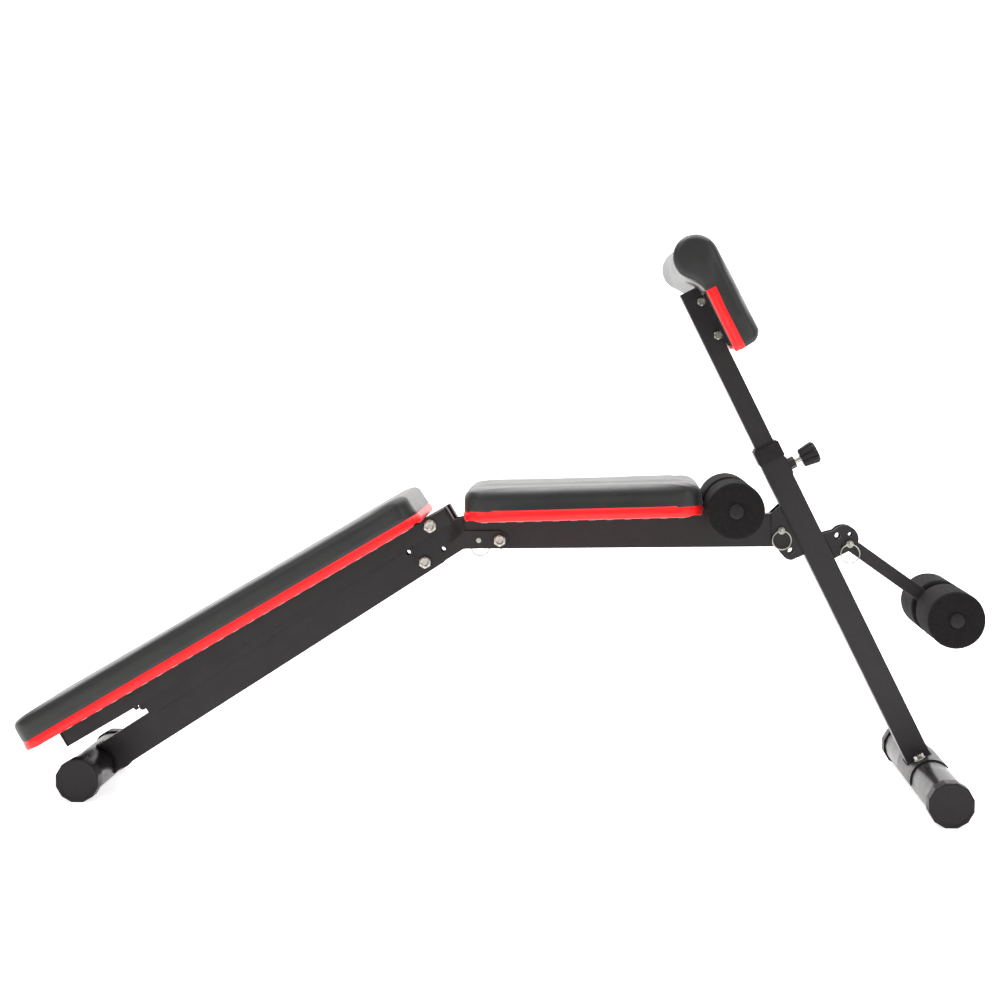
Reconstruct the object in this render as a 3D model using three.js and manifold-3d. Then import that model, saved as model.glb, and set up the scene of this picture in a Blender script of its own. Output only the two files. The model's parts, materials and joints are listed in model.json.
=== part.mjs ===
// Adjustable weight bench: a decline backrest and a flat seat on a folding frame,
// with a height-adjustable arm pad on a sloping front post and two pairs of foam rollers.
// Millimetres, +Z up, seen from the side: +X runs from the backrest to the front post,
// Y runs across the bench. The origin lies on the floor under the middle of the bench.
import * as THREE from 'three';
import { mergeVertices } from 'three/addons/utils/BufferGeometryUtils.js';
import Module from 'manifold-3d';

const wasm = await Module();
wasm.setup();

// ---------------------------------------------------------------- driving dimensions
const GAP = 0.3;                  // running gap between neighbouring pieces
const SLOPE = 32.8;               // rise of the rear tube, degrees
const BACK_TILT = 30.4;           // rise of the backrest in its lowest place
const SEAT_TILT = 0.7;            // rise of the seat beam
const PAD_TILT = 1.7;             // rise of the seat pad
const POST_LEAN = 26.5;           // lean of the front post off vertical
const BAR_DROP = 35.4;            // fall of the leg bar below level

const FOOT_HEIGHT = 32.5;         // foot axis above the floor
const REAR_FOOT = [-625.8, FOOT_HEIGHT];
const FRONT_FOOT = [658.5, FOOT_HEIGHT];
const REAR_PIVOT = [5.9, 389];    // bolt that the rear leg folds about
const BACK_PIVOT = [-98.6, 413];  // bolt that the backrest tilts about

const BEAM = { height: 50, width: 30, wall: 2 };
const OUTER = { side: 38, wall: 2, foot: 26, top: 551 };
const INNER = { side: 30, wall: 1.5, bottom: 372, top: 822 };
const RAIL = { side: 25, wall: 1.5, inside: 20 };
const PLATE = 3;                  // sheet thickness of brackets and cheeks
const FOOT_R = 30;
const CAP_R = 33.65;              // corner radius of the twelve-sided foot cap
const CAP_LENGTH = 26;
const REAR_HALF = 124;
const FRONT_HALF = 223;
const ROLLER_R = 42.2;
const ROLLER_END = 128;
const SHAFT_R = 9.5;
const SHAFT_BORE = 7.5;

const BACK = { low: -698, high: 3, half: 130, base: 13.3, thick: 52, band: 15 };
const SEAT = { length: 358, half: 130, thick: 50, band: 15 };
const HEAD = { half: 212, back: 16, front: 61.5, low: 712, rollT: 857, rollN: 24.5, rollR: 34.5, band: 11, bow: 10 };

const STRUT = { hinge: 250, length: 283, start: 0.94, arm: 10, rod: 6 };
const RACK = { notches: 7, pitch: 32.5, tip: 18.2, near: 16.2, far: 19.4 };

const rad = THREE.MathUtils.degToRad;
const COARSE = 12;
const ROUND = 32;

// ---------------------------------------------------------------- materials
const finish = (color, roughness, metalness = 0) =>
  new THREE.MeshStandardMaterial({ color, roughness, metalness });
const POWDER = finish('#3b3839', 0.45, 0.3);
const GLOSS = finish('#1c1b1c', 0.12, 0.3);
const PLASTIC = finish('#262324', 0.5);
const LEATHER = finish('#2c2b2b', 0.42);
const RED = finish('#ee2a2e', 0.4);
const FOAM = finish('#211f1f', 0.95);
const ZINC = finish('#c6c4bf', 0.3, 1);
const BOARD = finish('#2a2624', 0.9);

// ---------------------------------------------------------------- solid helpers
const toSolid = (geometry) => {
  const bare = geometry.index ? geometry.toNonIndexed() : geometry.clone();
  bare.deleteAttribute('normal');
  bare.deleteAttribute('uv');
  const merged = mergeVertices(bare, 1e-4);
  return new wasm.Manifold(new wasm.Mesh({
    numProp: 3,
    vertProperties: new Float32Array(merged.attributes.position.array),
    triVerts: new Uint32Array(merged.index.array),
  }));
};
const toGeometry = (solid) => {
  const mesh = solid.getMesh();
  const geometry = new THREE.BufferGeometry();
  geometry.setAttribute('position', new THREE.BufferAttribute(new Float32Array(mesh.vertProperties), 3));
  geometry.setIndex(new THREE.BufferAttribute(new Uint32Array(mesh.triVerts), 1));
  return geometry;
};
const join = (...solids) => solids.reduce((a, b) => a.add(b));
const cut = (solid, ...tools) => tools.reduce((a, b) => a.subtract(b), solid);

// A block from its low and high corners.
const block = ([x0, y0, z0], [x1, y1, z1]) =>
  toSolid(new THREE.BoxGeometry(x1 - x0, y1 - y0, z1 - z0)
    .translate((x0 + x1) / 2, (y0 + y1) / 2, (z0 + z1) / 2));

// An outline of [x, z] points drawn through from y0 to y1.
const slab = (outline, y0, y1) => {
  const shape = new THREE.Shape(outline.map(([x, z]) => new THREE.Vector2(x, z)));
  const body = new THREE.ExtrudeGeometry(shape, { depth: y1 - y0, bevelEnabled: false, curveSegments: 1 });
  return toSolid(body.rotateX(Math.PI / 2).translate(0, y1, 0));
};

// A round bar along Y, X or Z.
const barY = (r, y0, y1, x = 0, z = 0, sides = ROUND) =>
  toSolid(new THREE.CylinderGeometry(r, r, y1 - y0, sides).translate(x, (y0 + y1) / 2, z));
const barX = (r, x0, x1, y = 0, z = 0, sides = ROUND) =>
  toSolid(new THREE.CylinderGeometry(r, r, x1 - x0, sides).rotateZ(Math.PI / 2)
    .translate((x0 + x1) / 2, y, z));
const barZ = (r, z0, z1, x = 0, y = 0, sides = ROUND) =>
  toSolid(new THREE.CylinderGeometry(r, r, z1 - z0, sides).rotateX(Math.PI / 2)
    .translate(x, y, (z0 + z1) / 2));

// A turned piece: [radius, y] points from axis to axis, spun about the Y axis.
const turned = (profile, sides = ROUND) =>
  toSolid(new THREE.LatheGeometry(profile.map(([r, y]) => new THREE.Vector2(r, y)), sides));

// Points on an arc, from one angle to another in degrees.
const arc = (x, z, r, from, to, steps = 6) =>
  Array.from({ length: steps + 1 }, (_, i) => {
    const a = rad(from + ((to - from) * i) / steps);
    return [x + r * Math.cos(a), z + r * Math.sin(a)];
  });

// A square tube along X, hollow and open at both ends.
const tubeX = (x0, x1, half, wide, wall, y = 0, z = 0) =>
  cut(block([x0, y - wide, z - half], [x1, y + wide, z + half]),
    block([x0 - 1, y - wide + wall, z - half + wall], [x1 + 1, y + wide - wall, z + half - wall]));

// ---------------------------------------------------------------- scene graph helpers
const bench = new THREE.Group();
const place = (parent, [x, z], rise = 0) => {
  const group = new THREE.Group();
  group.position.set(x, 0, z);
  group.rotation.y = -rad(rise);
  parent.add(group);
  return group;
};
const put = (parent, name, solid, material) => {
  const mesh = new THREE.Mesh(solid.isBufferGeometry ? solid : toGeometry(solid), material);
  mesh.name = name;
  parent.add(mesh);
};
// The same piece on the near (-Y) and the far (+Y) side.
const SIDES = [['near', -1], ['far', 1]];

// Where a point of the whole bench falls in a turned frame.
const local = ([ox, oz], rise, [x, z]) => {
  const a = rad(rise);
  const dx = x - ox;
  const dz = z - oz;
  return [dx * Math.cos(a) + dz * Math.sin(a), -dx * Math.sin(a) + dz * Math.cos(a)];
};

// ---------------------------------------------------------------- fasteners
// A hexagon bolt along Y: its head's inner face is at y = head, its shank runs to y = tip.
const hexBolt = (x, z, radius, head, tip, across = 15, thick = 6) => {
  const way = Math.sign(tip - head);
  const [h0, h1] = [head - way * thick, head].sort((a, b) => a - b);
  const [s0, s1] = [head - way * 0.5, tip].sort((a, b) => a - b);
  return join(barY(across / 2 / Math.cos(Math.PI / 6), h0, h1, x, z, 6), barY(radius, s0, s1, x, z, COARSE));
};
const hexNut = (x, z, bore, y0, y1, across = 15) =>
  cut(barY(across / 2 / Math.cos(Math.PI / 6), y0, y1, x, z, 6), barY(bore, y0 - 1, y1 + 1, x, z, COARSE));

// A quick-release pin with a flat tab, and the wire ring that hangs from it.
const RING = { radius: 14, wire: 1.1, eye: 2.2, out: 26.5 };
const lockPin = (x, z, side, reach, tip = 4) => {
  const tab = block([x - 2.2, RING.out - 4.4, z - 4.2], [x + 2.2, RING.out + 4.4, z + 4.2]);
  const collar = barY(5.6, 18.6, RING.out - 4, x, z, COARSE);
  const shank = barY(tip - 0.1, -reach, 19, x, z, COARSE);
  const eye = barX(RING.eye, x - 8, x + 8, RING.out, z, 12);
  const whole = cut(join(tab, collar, shank), eye);
  return side > 0 ? whole : whole.mirror([0, 1, 0]);
};
const wireRing = (x, z, side) => {
  const torus = new THREE.TorusGeometry(RING.radius, RING.wire, 6, 20).rotateX(Math.PI / 2);
  return toSolid(torus.translate(x, side * RING.out, z - RING.radius));
};

// ---------------------------------------------------------------- feet and rollers
// A foot cap: twelve flats so the bench can't roll, flat side down.
const footCap = (outer, side) => {
  const shell = toSolid(new THREE.CylinderGeometry(CAP_R, CAP_R, CAP_LENGTH, 12)
    .rotateY(rad(15)));
  const bore = barY(FOOT_R + GAP, -CAP_LENGTH, CAP_LENGTH / 2 - 4);
  const cap = cut(shell, bore).translate([0, outer - CAP_LENGTH / 2, 0]);
  return side > 0 ? cap : cap.mirror([0, 1, 0]);
};
const footTube = (half) => {
  const end = half - 4 - GAP;
  return cut(barY(FOOT_R, -end, end), barY(FOOT_R - 2, -end - 1, end + 1));
};
// A foam roller with softly rounded ends, bored for its shaft.
const foamRoller = (inner, outer, side) => {
  const r = ROLLER_R;
  const body = turned([[0, inner], [r - 4, inner], [r - 1.2, inner + 1.2], [r, inner + 4],
    [r, outer - 5], [r - 1.4, outer - 1.6], [r - 5, outer], [0, outer]]);
  const bored = cut(body, barY(SHAFT_R + GAP, inner - 1, outer + 1));
  return side > 0 ? bored : bored.mirror([0, 1, 0]);
};
const shaftPlug = (side) => {
  const plug = join(barY(SHAFT_R + 1.2, ROLLER_END + GAP, ROLLER_END + 2.5, 0, 0, 24),
    barY(SHAFT_BORE - GAP, ROLLER_END - 14, ROLLER_END + 0.5, 0, 0, COARSE));
  return side > 0 ? plug : plug.mirror([0, 1, 0]);
};
const rollerShaft = () => cut(barY(SHAFT_R, -ROLLER_END, ROLLER_END, 0, 0, 24),
  barY(SHAFT_BORE, -ROLLER_END - 1, ROLLER_END + 1, 0, 0, COARSE));

const addRollers = (parent, prefix, centreHalf) => {
  for (const [word, side] of SIDES) {
    put(parent, `${prefix}_foam_${word}`, foamRoller(centreHalf, ROLLER_END - 1, side), FOAM);
    put(parent, `${prefix}_shaft_plug_${word}`, shaftPlug(side), PLASTIC);
  }
};

// ---------------------------------------------------------------- pads
// The rounded rectangle of a pad, seen from above.
const padOutline = (x0, x1, half, r, inset = 0) => {
  const [a, b, h, c] = [x0 + inset, x1 - inset, half - inset, Math.max(r - inset, 2)];
  return [...arc(b - c, h - c, c, 0, 90), ...arc(a + c, h - c, c, 90, 180),
    ...arc(a + c, -h + c, c, 180, 270), ...arc(b - c, -h + c, c, 270, 360)];
};
// A closed stack of outlines with the same number of points: [[outline, z], ...].
const loft = (layers) => {
  const count = layers[0][0].length;
  const points = [];
  const faces = [];
  layers.forEach(([outline, z]) => outline.forEach(([x, y]) => points.push(x, y, z)));
  for (let layer = 0; layer + 1 < layers.length; layer += 1) {
    for (let i = 0; i < count; i += 1) {
      const a = layer * count + i;
      const b = layer * count + ((i + 1) % count);
      faces.push(a, b, b + count, a, b + count, a + count);
    }
  }
  const lastLayer = (layers.length - 1) * count;
  for (let i = 1; i + 1 < count; i += 1) {
    faces.push(0, i + 1, i);
    faces.push(lastLayer, lastLayer + i, lastLayer + i + 1);
  }
  const geometry = new THREE.BufferGeometry();
  geometry.setAttribute('position', new THREE.BufferAttribute(new Float32Array(points), 3));
  geometry.setIndex(faces);
  return toSolid(geometry);
};
const BOARD_INSET = 7;
const BOARD_LIFT = 3;
// Cushion, edge band and board of a pad whose underside is at z = base.
const addPad = (parent, prefix, x0, x1, half, base, thick, band, corner) => {
  const top = base + thick;
  put(parent, `${prefix}_cushion`, loft([
    [padOutline(x0, x1, half, corner), base + band + GAP],
    [padOutline(x0, x1, half, corner), top - 15],
    [padOutline(x0, x1, half, corner, 4), top - 5],
    [padOutline(x0, x1, half, corner, 13), top]]), LEATHER);
  put(parent, `${prefix}_band`, cut(
    loft([[padOutline(x0, x1, half, corner), base], [padOutline(x0, x1, half, corner), base + band]]),
    loft([[padOutline(x0, x1, half, corner, BOARD_INSET - GAP), base - 1],
      [padOutline(x0, x1, half, corner, BOARD_INSET - GAP), base + band + 1]])), RED);
  put(parent, `${prefix}_board`, loft([
    [padOutline(x0, x1, half, corner, BOARD_INSET), base + BOARD_LIFT],
    [padOutline(x0, x1, half, corner, BOARD_INSET), base + band]]), BOARD);
};

// ---------------------------------------------------------------- seat (the fixed body)
// Frame at the rear pivot bolt, X along the beam.
const seat = place(bench, REAR_PIVOT, SEAT_TILT);
const BEAM_LOW = -12.9;
const BEAM_TOP = BEAM_LOW + BEAM.height;
const BEAM_LEFT = -55;
const FRONT_PIN = [428.2, 11.6];           // quick-release pin of the front post
const REAR_LOCK = [-32.2, 0.2];            // lock pin beside the rear pivot
const LOCK_SWEEP = 95;                     // fold of the rear leg, degrees
const POST_FOLD = 30;                      // fold of the front post, degrees
const SEAT_ROLLER = local(REAR_PIVOT, SEAT_TILT, [357.4, 443]);
const PIN_R = 4.1;

const beamEnd = () => {
  // The end beside the post is mitred to it above the pin. Below the pin it is cut to the
  // post's slope when that is folded in, and the two cuts run into each other in an arc.
  const face = 14.3;
  const lean = POST_LEAN - SEAT_TILT;
  const folded = lean - POST_FOLD;
  const [px, pz] = FRONT_PIN;
  const far = px + 60;
  const edge = (z, slope) => [px + (face - (z - pz) * Math.sin(rad(slope))) / Math.cos(rad(slope)), z];
  return slab([edge(BEAM_LOW - 5, folded), ...arc(px, pz, face, folded, lean, 4), edge(BEAM_TOP + 5, lean),
    [far, BEAM_TOP + 5], [far, BEAM_LOW - 5]], -30, 30);
};
const arcSlot = (radius, width, from, to) => {
  // A curved slot about the pivot, drawn through both walls of the beam.
  const outer = arc(0, 0, radius + width, from, to, 10);
  const inner = arc(0, 0, radius - width, to, from, 10);
  return slab([...outer, ...inner], -30, 30);
};
const seatFrame = () => {
  const beam = tubeX(BEAM_LEFT, FRONT_PIN[0] + 45, BEAM.height / 2, BEAM.width / 2, BEAM.wall,
    0, BEAM_LOW + BEAM.height / 2);
  const lockRadius = Math.hypot(...REAR_LOCK);
  const cutBeam = cut(beam, beamEnd(), barY(5.2, -30, 30, 0, 0, COARSE),
    barY(PIN_R + GAP, -30, 30, ...FRONT_PIN, COARSE),
    barY(PIN_R + GAP, -30, 30, ...REAR_LOCK, COARSE),
    arcSlot(lockRadius, PIN_R + GAP, 180, 180 + LOCK_SWEEP));
  const strap = (x) => block([x - 15, -90, BEAM_TOP - 0.2], [x + 15, 90, BEAM_TOP + PLATE - GAP]);
  const [rx, rz] = SEAT_ROLLER;
  const sleeve = cut(join(barY(SHAFT_R + 3, -15, 15, rx, rz, 24),
    block([rx - 8, -15, BEAM_TOP - 0.2], [rx + 8, 15, rz])), barY(SHAFT_R + GAP, -20, 20, rx, rz, 24));
  return join(cutBeam, strap(20), strap(250), sleeve);
};
put(seat, 'seat_frame', seatFrame(), POWDER);

// The pad rises a little more than the beam; its left end is over the rear bracket.
const PAD_LEFT = -51;
const pad = place(seat, [PAD_LEFT, BEAM_TOP + 0.2], PAD_TILT - SEAT_TILT);
addPad(pad, 'seat', 0, SEAT.length, SEAT.half, 0, SEAT.thick, SEAT.band, 34);

const seatRoller = place(seat, SEAT_ROLLER);
put(seatRoller, 'seat_roller_shaft', rollerShaft(), ZINC);
addRollers(seatRoller, 'seat_roller', 16);

// ---------------------------------------------------------------- rear leg
// Frame at the rear foot axis, X up along the sloping tube.
const rear = place(bench, REAR_FOOT, SLOPE);
const inRear = (point) => local(REAR_FOOT, SLOPE, point);
const TUBE_END = 634;
const BRACKET_BOLT = inRear([-108.7, 354.8]);
const PIVOT_IN_REAR = inRear(REAR_PIVOT);
const BACK_IN_REAR = inRear(BACK_PIVOT);
const STRUT_HINGE = [BACK_IN_REAR[0] - STRUT.hinge, BACK_IN_REAR[1]];
const SADDLE_R = FOOT_R + 2.6;

// A curved saddle plate round a foot tube, about the +X side of the foot axis.
const saddle = (half, spread) => {
  const ring = cut(barY(SADDLE_R, -half, half, 0, 0, 40), barY(FOOT_R + GAP, -half - 1, half + 1, 0, 0, 40));
  const reach = 80;
  return ring.intersect(slab([[0, 0], [reach * Math.cos(rad(spread)), -reach * Math.sin(rad(spread))],
    [reach, 0], [reach * Math.cos(rad(spread)), reach * Math.sin(rad(spread))]], -half - 1, half + 1));
};
const rearFrame = () => {
  const tube = cut(tubeX(10, TUBE_END, BEAM.height / 2, BEAM.width / 2, BEAM.wall),
    barY(SADDLE_R - 0.5, -30, 30, 0, 0, 40), barY(5.2, -30, 30, ...BRACKET_BOLT, COARSE),
    barY(4, -30, 30, 595, 17, COARSE));
  const [hx, hz] = STRUT_HINGE;
  const lug = (side) => {
    const [y0, y1] = side > 0 ? [10.6, 13.6] : [-13.6, -10.6];
    return slab([[hx - 14, 24.8], [hx + 14, 24.8], ...arc(hx, hz, 7, 20, 160)], y0, y1);
  };
  const lugs = cut(join(lug(1), lug(-1)), barY(3 + GAP, -20, 20, hx, hz, COARSE));
  return join(tube, lugs, saddle(15, 55));
};
put(rear, 'rear_frame', rearFrame(), POWDER);

// Centre plates: one on each side, from the rear tube to the seat beam, with an ear
// that carries the backrest's pivot sleeve.
const inPlate = (x, z) => inRear([x, z]);
const EAR_R = 12.9;                        // less than the pad's height over the pivot, which it passes
const centrePlate = (side) => {
  const [bx, bz] = BRACKET_BOLT;
  const [sx, sz] = PIVOT_IN_REAR;
  const outline = [
    inPlate(-50, 375.2), inPlate(-44, 376.2), inPlate(5.9, 376.4),
    ...arc(sx, sz, 13.6, -SLOPE - 80, -SLOPE + 80),
    inPlate(7, 404), inPlate(-48.5, 403.3), inPlate(-50.5, 424), inPlate(-62.5, 421.5),
    inPlate(-71.5, 412.5), ...arc(...BACK_IN_REAR, EAR_R, 2, 150, 8),
    inPlate(-128, 385), ...arc(bx, bz, 13.5, 150, 265, 5), inPlate(-100, 343.2)];
  const [y0, y1] = side > 0 ? [BEAM.width / 2 + GAP, BEAM.width / 2 + GAP + PLATE]
    : [-BEAM.width / 2 - GAP - PLATE, -BEAM.width / 2 - GAP];
  const holes = [[...BRACKET_BOLT, 5.2], [...PIVOT_IN_REAR, 5.2], [...BACK_IN_REAR, 8.2],
    [...inPlate(-81.2, 374.4), 4.4], [...inPlate(-26.3, 388.8), PIN_R + GAP]];
  return cut(slab(outline, y0, y1), ...holes.map(([x, z, r]) => barY(r, -30, 30, x, z, COARSE)));
};
for (const [word, side] of SIDES) {
  put(rear, `centre_plate_${word}`, centrePlate(side), POWDER);
}
const PLATE_OUT = BEAM.width / 2 + GAP + PLATE;

const addBolt = (parent, name, [x, z], radius, head, tip, across = 15) => {
  put(parent, `${name}_bolt`, hexBolt(x, z, radius, -head - GAP, tip, across), ZINC);
  put(parent, `${name}_nut`, hexNut(x, z, radius + GAP, head + GAP, head + 8, across), ZINC);
};
addBolt(rear, 'bracket', BRACKET_BOLT, 4.9, PLATE_OUT, PLATE_OUT + 10);
addBolt(rear, 'rear_pivot', PIVOT_IN_REAR, 4.9, PLATE_OUT, PLATE_OUT + 10);
put(rear, 'backrest_pivot_sleeve', cut(barY(7.9, -RAIL.inside + GAP, RAIL.inside - GAP, ...BACK_IN_REAR, 24),
  barY(5.2, -30, 30, ...BACK_IN_REAR, COARSE)), ZINC);

put(rear, 'rear_foot_tube', footTube(REAR_HALF), GLOSS);
for (const [word, side] of SIDES) {
  const cap = footCap(REAR_HALF, side).rotate([0, SLOPE, 0]);
  put(rear, `rear_foot_cap_${word}`, cap, PLASTIC);
}

// Lock pin of the rear fold, pushed in from the far side.
const rearLock = inRear([-26.3, 388.8]);
const level = place(rear, rearLock, -SLOPE);
put(level, 'rear_lock_pin', lockPin(0, 0, 1, PLATE_OUT + 0.8, PIN_R), ZINC);
put(level, 'rear_lock_ring', wireRing(0, 0, 1), ZINC);

// Strut: two arms and a cross rod that drops into the rack under the backrest.
const strutGroup = place(rear, STRUT_HINGE, -STRUT.start);
const strut = () => {
  const half = STRUT.arm / 2;
  const [y0, y1] = [6.6, 10.2];
  const arm = (side) => {
    const outline = [...arc(0, 0, half + 1, -90, 90), ...arc(-STRUT.length, 0, half, 90, 270)];
    return slab(outline, side > 0 ? y0 : -y1, side > 0 ? y1 : -y0);
  };
  const rod = barY(STRUT.rod, -RAIL.inside + 0.4, RAIL.inside - 0.4, -STRUT.length, 0, 24);
  const brace = block([-60, -y1 + 0.2, -2], [-52, y1 - 0.2, 2]);
  return cut(join(arm(1), arm(-1), rod, brace), barY(3 + GAP, -20, 20, 0, 0, COARSE));
};
put(strutGroup, 'strut', strut(), POWDER);
put(rear, 'strut_hinge_pin', join(barY(3, -14.4, 14.4, ...STRUT_HINGE, COARSE),
  barY(5, -15.9, -14.2, ...STRUT_HINGE, COARSE), barY(5, 14.2, 15.9, ...STRUT_HINGE, COARSE)), ZINC);

// ---------------------------------------------------------------- backrest
// Frame at the tilt bolt, X up along the backrest; the pad lies above the rails.
const back = place(bench, BACK_PIVOT, BACK_TILT);
const RAIL_LOW = -656;
const RAIL_HIGH = 31;
const RAIL_TOP = BACK.base + BOARD_LIFT - GAP - 3.6;
const RAIL_MID = RAIL_TOP - RAIL.side / 2;
const rackPlate = (side) => {
  const first = -(STRUT.hinge + STRUT.length - 0.6);
  const seatAt = (i) => first + i * RACK.pitch;
  const low = -RACK.tip;
  const base = RAIL_MID - RAIL.side / 2 + 2;
  const outline = [];
  for (let i = 0; i < RACK.notches; i += 1) {
    const x = seatAt(i);
    outline.push([x - 15, base], [x - 13, low], [x - 7.5, low], [x - 6.8, base + 1.6], [x + 8, base + 1.6]);
  }
  const right = seatAt(RACK.notches - 1) + 14;
  outline.push([right, base], [right, 8], [first - 15, 8]);
  return slab(outline, side > 0 ? RACK.near : -RACK.far, side > 0 ? RACK.far : -RACK.near);
};
// A tapering web deepens the inner side of each rail, down beside the sloping tube.
const WEB = { low: -528, high: -70, deep: 37, shallow: 14.5, thick: 2.4 };
const web = (side) => {
  const outline = [[WEB.low - 4, RAIL_MID], [WEB.low, -WEB.deep], [WEB.high, -WEB.shallow], [WEB.high, RAIL_MID]];
  const edge = side * RAIL.inside;
  return slab(outline, Math.min(edge, edge + side * WEB.thick), Math.max(edge, edge + side * WEB.thick));
};
const backFrame = () => {
  const rail = (side) => {
    const y = side * (RAIL.inside + RAIL.side / 2);
    return cut(tubeX(RAIL_LOW, RAIL_HIGH, RAIL.side / 2, RAIL.side / 2, RAIL.wall, y, RAIL_MID),
      barY(5.2, y - 20, y + 20, 0, 0, COARSE));
  };
  const cross = (x) => block([x - 10, -100, RAIL_TOP - 0.2], [x + 10, 100, BACK.base + BOARD_LIFT - GAP]);
  const weld = (side) => block([-520, side > 0 ? RACK.far - 0.2 : -RAIL.inside - 0.2, 2],
    [-320, side > 0 ? RAIL.inside + 0.2 : -RACK.far + 0.2, 7]);
  const tie = block([-640, -RAIL.inside - 0.2, RAIL_MID - 8], [-620, RAIL.inside + 0.2, RAIL_MID + 8]);
  return join(rail(1), rail(-1), cross(-600), cross(-280), cross(-60), tie,
    rackPlate(1), rackPlate(-1), weld(1), weld(-1), web(1), web(-1));
};
put(back, 'backrest_frame', backFrame(), POWDER);
addPad(back, 'backrest', BACK.low, BACK.high, BACK.half, BACK.base, BACK.thick, BACK.band, 30);
const RAIL_OUT = RAIL.inside + RAIL.side;
addBolt(back, 'backrest_pivot', [0, 0], 4.9, RAIL_OUT, RAIL_OUT + 10, 16);
for (const [word, side] of SIDES) {
  const y = side * (RAIL.inside + RAIL.side / 2);
  const h = RAIL.side / 2;
  const plug = (x, way) => join(
    block([Math.min(x, x + way * 4), y - h, RAIL_MID - h], [Math.max(x, x + way * 4), y + h, RAIL_MID + h]),
    block([Math.min(x + way * 0.5, x - way * 12), y - h + 1.8, RAIL_MID - h + 1.8],
      [Math.max(x + way * 0.5, x - way * 12), y + h - 1.8, RAIL_MID + h - 1.8]));
  put(back, `rail_plug_upper_${word}`, plug(RAIL_HIGH + GAP, 1), PLASTIC);
  put(back, `rail_plug_lower_${word}`, plug(RAIL_LOW - GAP, -1), PLASTIC);
}

// ---------------------------------------------------------------- front post
// Frame at the front foot axis, Z up along the post, X square to it on the front side.
const front = place(bench, FRONT_FOOT, POST_LEAN);
const inFront = (point) => local(FRONT_FOOT, POST_LEAN, point);
const seatPoint = ([x, z]) => {
  const a = rad(SEAT_TILT);
  return [REAR_PIVOT[0] + x * Math.cos(a) - z * Math.sin(a), REAR_PIVOT[1] + x * Math.sin(a) + z * Math.cos(a)];
};
const PIN_IN_FRONT = inFront(seatPoint(FRONT_PIN));
const LEG_PIN = [49, 370.5];
const PULL_T = 518.2;
const CHEEK_BACK = [BEAM.width / 2 + GAP, BEAM.width / 2 + GAP + PLATE];
const CHEEK_FRONT = [10.5, 10.5 + PLATE];

const sided = (outline, [y0, y1], side) => (side > 0 ? slab(outline, y0, y1) : slab(outline, -y1, -y0));
const cheekBack = (side) => {
  const corner = inFront([418, 431.5]);
  const low = inFront([420, 388]);
  const outline = [[-18.8, 470], corner, low, inFront([427.5, 380]),
    ...arc(...inFront([448.8, 375.5]), 14.5, 185, 250, 4), [-18.8, 386]];
  return cut(sided(outline, CHEEK_BACK, side), barY(PIN_R + GAP, -30, 30, ...PIN_IN_FRONT, COARSE),
    barY(5, -30, 30, ...inFront([448.8, 374.8]), COARSE));
};
const cheekFront = (side) => {
  const outline = [[18.8, 360], ...arc(45.5, 379.5, 21.5, -62, 116, 9), [18.8, 402.5]];
  const holes = [[...LEG_PIN, PIN_R + GAP], [37.6, 389.2, 5.2], [56.3, 382, 3.8], [38, 372.5, 2.4]];
  return cut(sided(outline, CHEEK_FRONT, side),
    ...holes.map(([x, z, r]) => barY(r, -30, 30, x, z, COARSE)));
};
const frontFrame = () => {
  const half = OUTER.side / 2;
  const hollow = half - OUTER.wall;
  const post = cut(block([-half, -half, 18], [half, half, OUTER.top]),
    block([-hollow, -hollow, 10], [hollow, hollow, OUTER.top + 1]),
    barY(SADDLE_R - 0.4, -60, 60, 0, 0, 40), barX(4.6, 0, 40, 0, PULL_T, COARSE));
  const saddlePlate = cut(saddle(60, 78).rotate([0, -90, 0]),
    barZ(4.4, 20, 50, 0, 42, COARSE), barZ(4.4, 20, 50, 0, -42, COARSE));
  const boss = cut(join(
    slab([[half - 0.2, PULL_T - 17], [half - 0.2, PULL_T + 17], [half + 2.5, PULL_T + 12],
      [half + 2.5, PULL_T - 12]], -9, 9),
    barX(9.4, half + 2, half + 12, 0, PULL_T, 6)),
    barX(4.6, 0, 60, 0, PULL_T, COARSE), barX(7.2, half + 2.5, half + 10, 0, PULL_T, COARSE));
  return join(post, saddlePlate, boss, cheekBack(1), cheekBack(-1), cheekFront(1), cheekFront(-1));
};
put(front, 'front_frame', frontFrame(), POWDER);

// Collar: a plastic sleeve on the post's mouth that guides the sliding inner tube.
const collar = () => {
  const [out, top] = [20.6, OUTER.top + 11];
  const skirt = block([-out, -out, top - 26], [out, out, top - 2.5]);
  const lip = block([-out + 2.2, -out + 2.2, top - 3], [out - 2.2, out - 2.2, top]);
  const over = OUTER.side / 2 + GAP;
  const bore = INNER.side / 2 + GAP;
  return cut(join(skirt, lip), block([-over, -over, top - 40], [over, over, OUTER.top + GAP]),
    block([-bore, -bore, top - 40], [bore, bore, top + 1]));
};
put(front, 'post_collar', collar(), PLASTIC);

put(front, 'front_foot_tube', footTube(FRONT_HALF), GLOSS);
for (const [word, side] of SIDES) {
  put(front, `front_foot_cap_${word}`, footCap(FRONT_HALF, side).rotate([0, POST_LEAN, 0]), PLASTIC);
  const top = SADDLE_R + GAP;
  const y = side * 42;
  put(front, `front_foot_bolt_${word}`, join(barZ(8.6, top, top + 1.8, 0, y, 20),
    barZ(7.5, top + 1.6, top + 7.5, 0, y, 6), barZ(4, FOOT_R + 0.5, top + 0.2, 0, y, COARSE)), ZINC);
}

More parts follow.
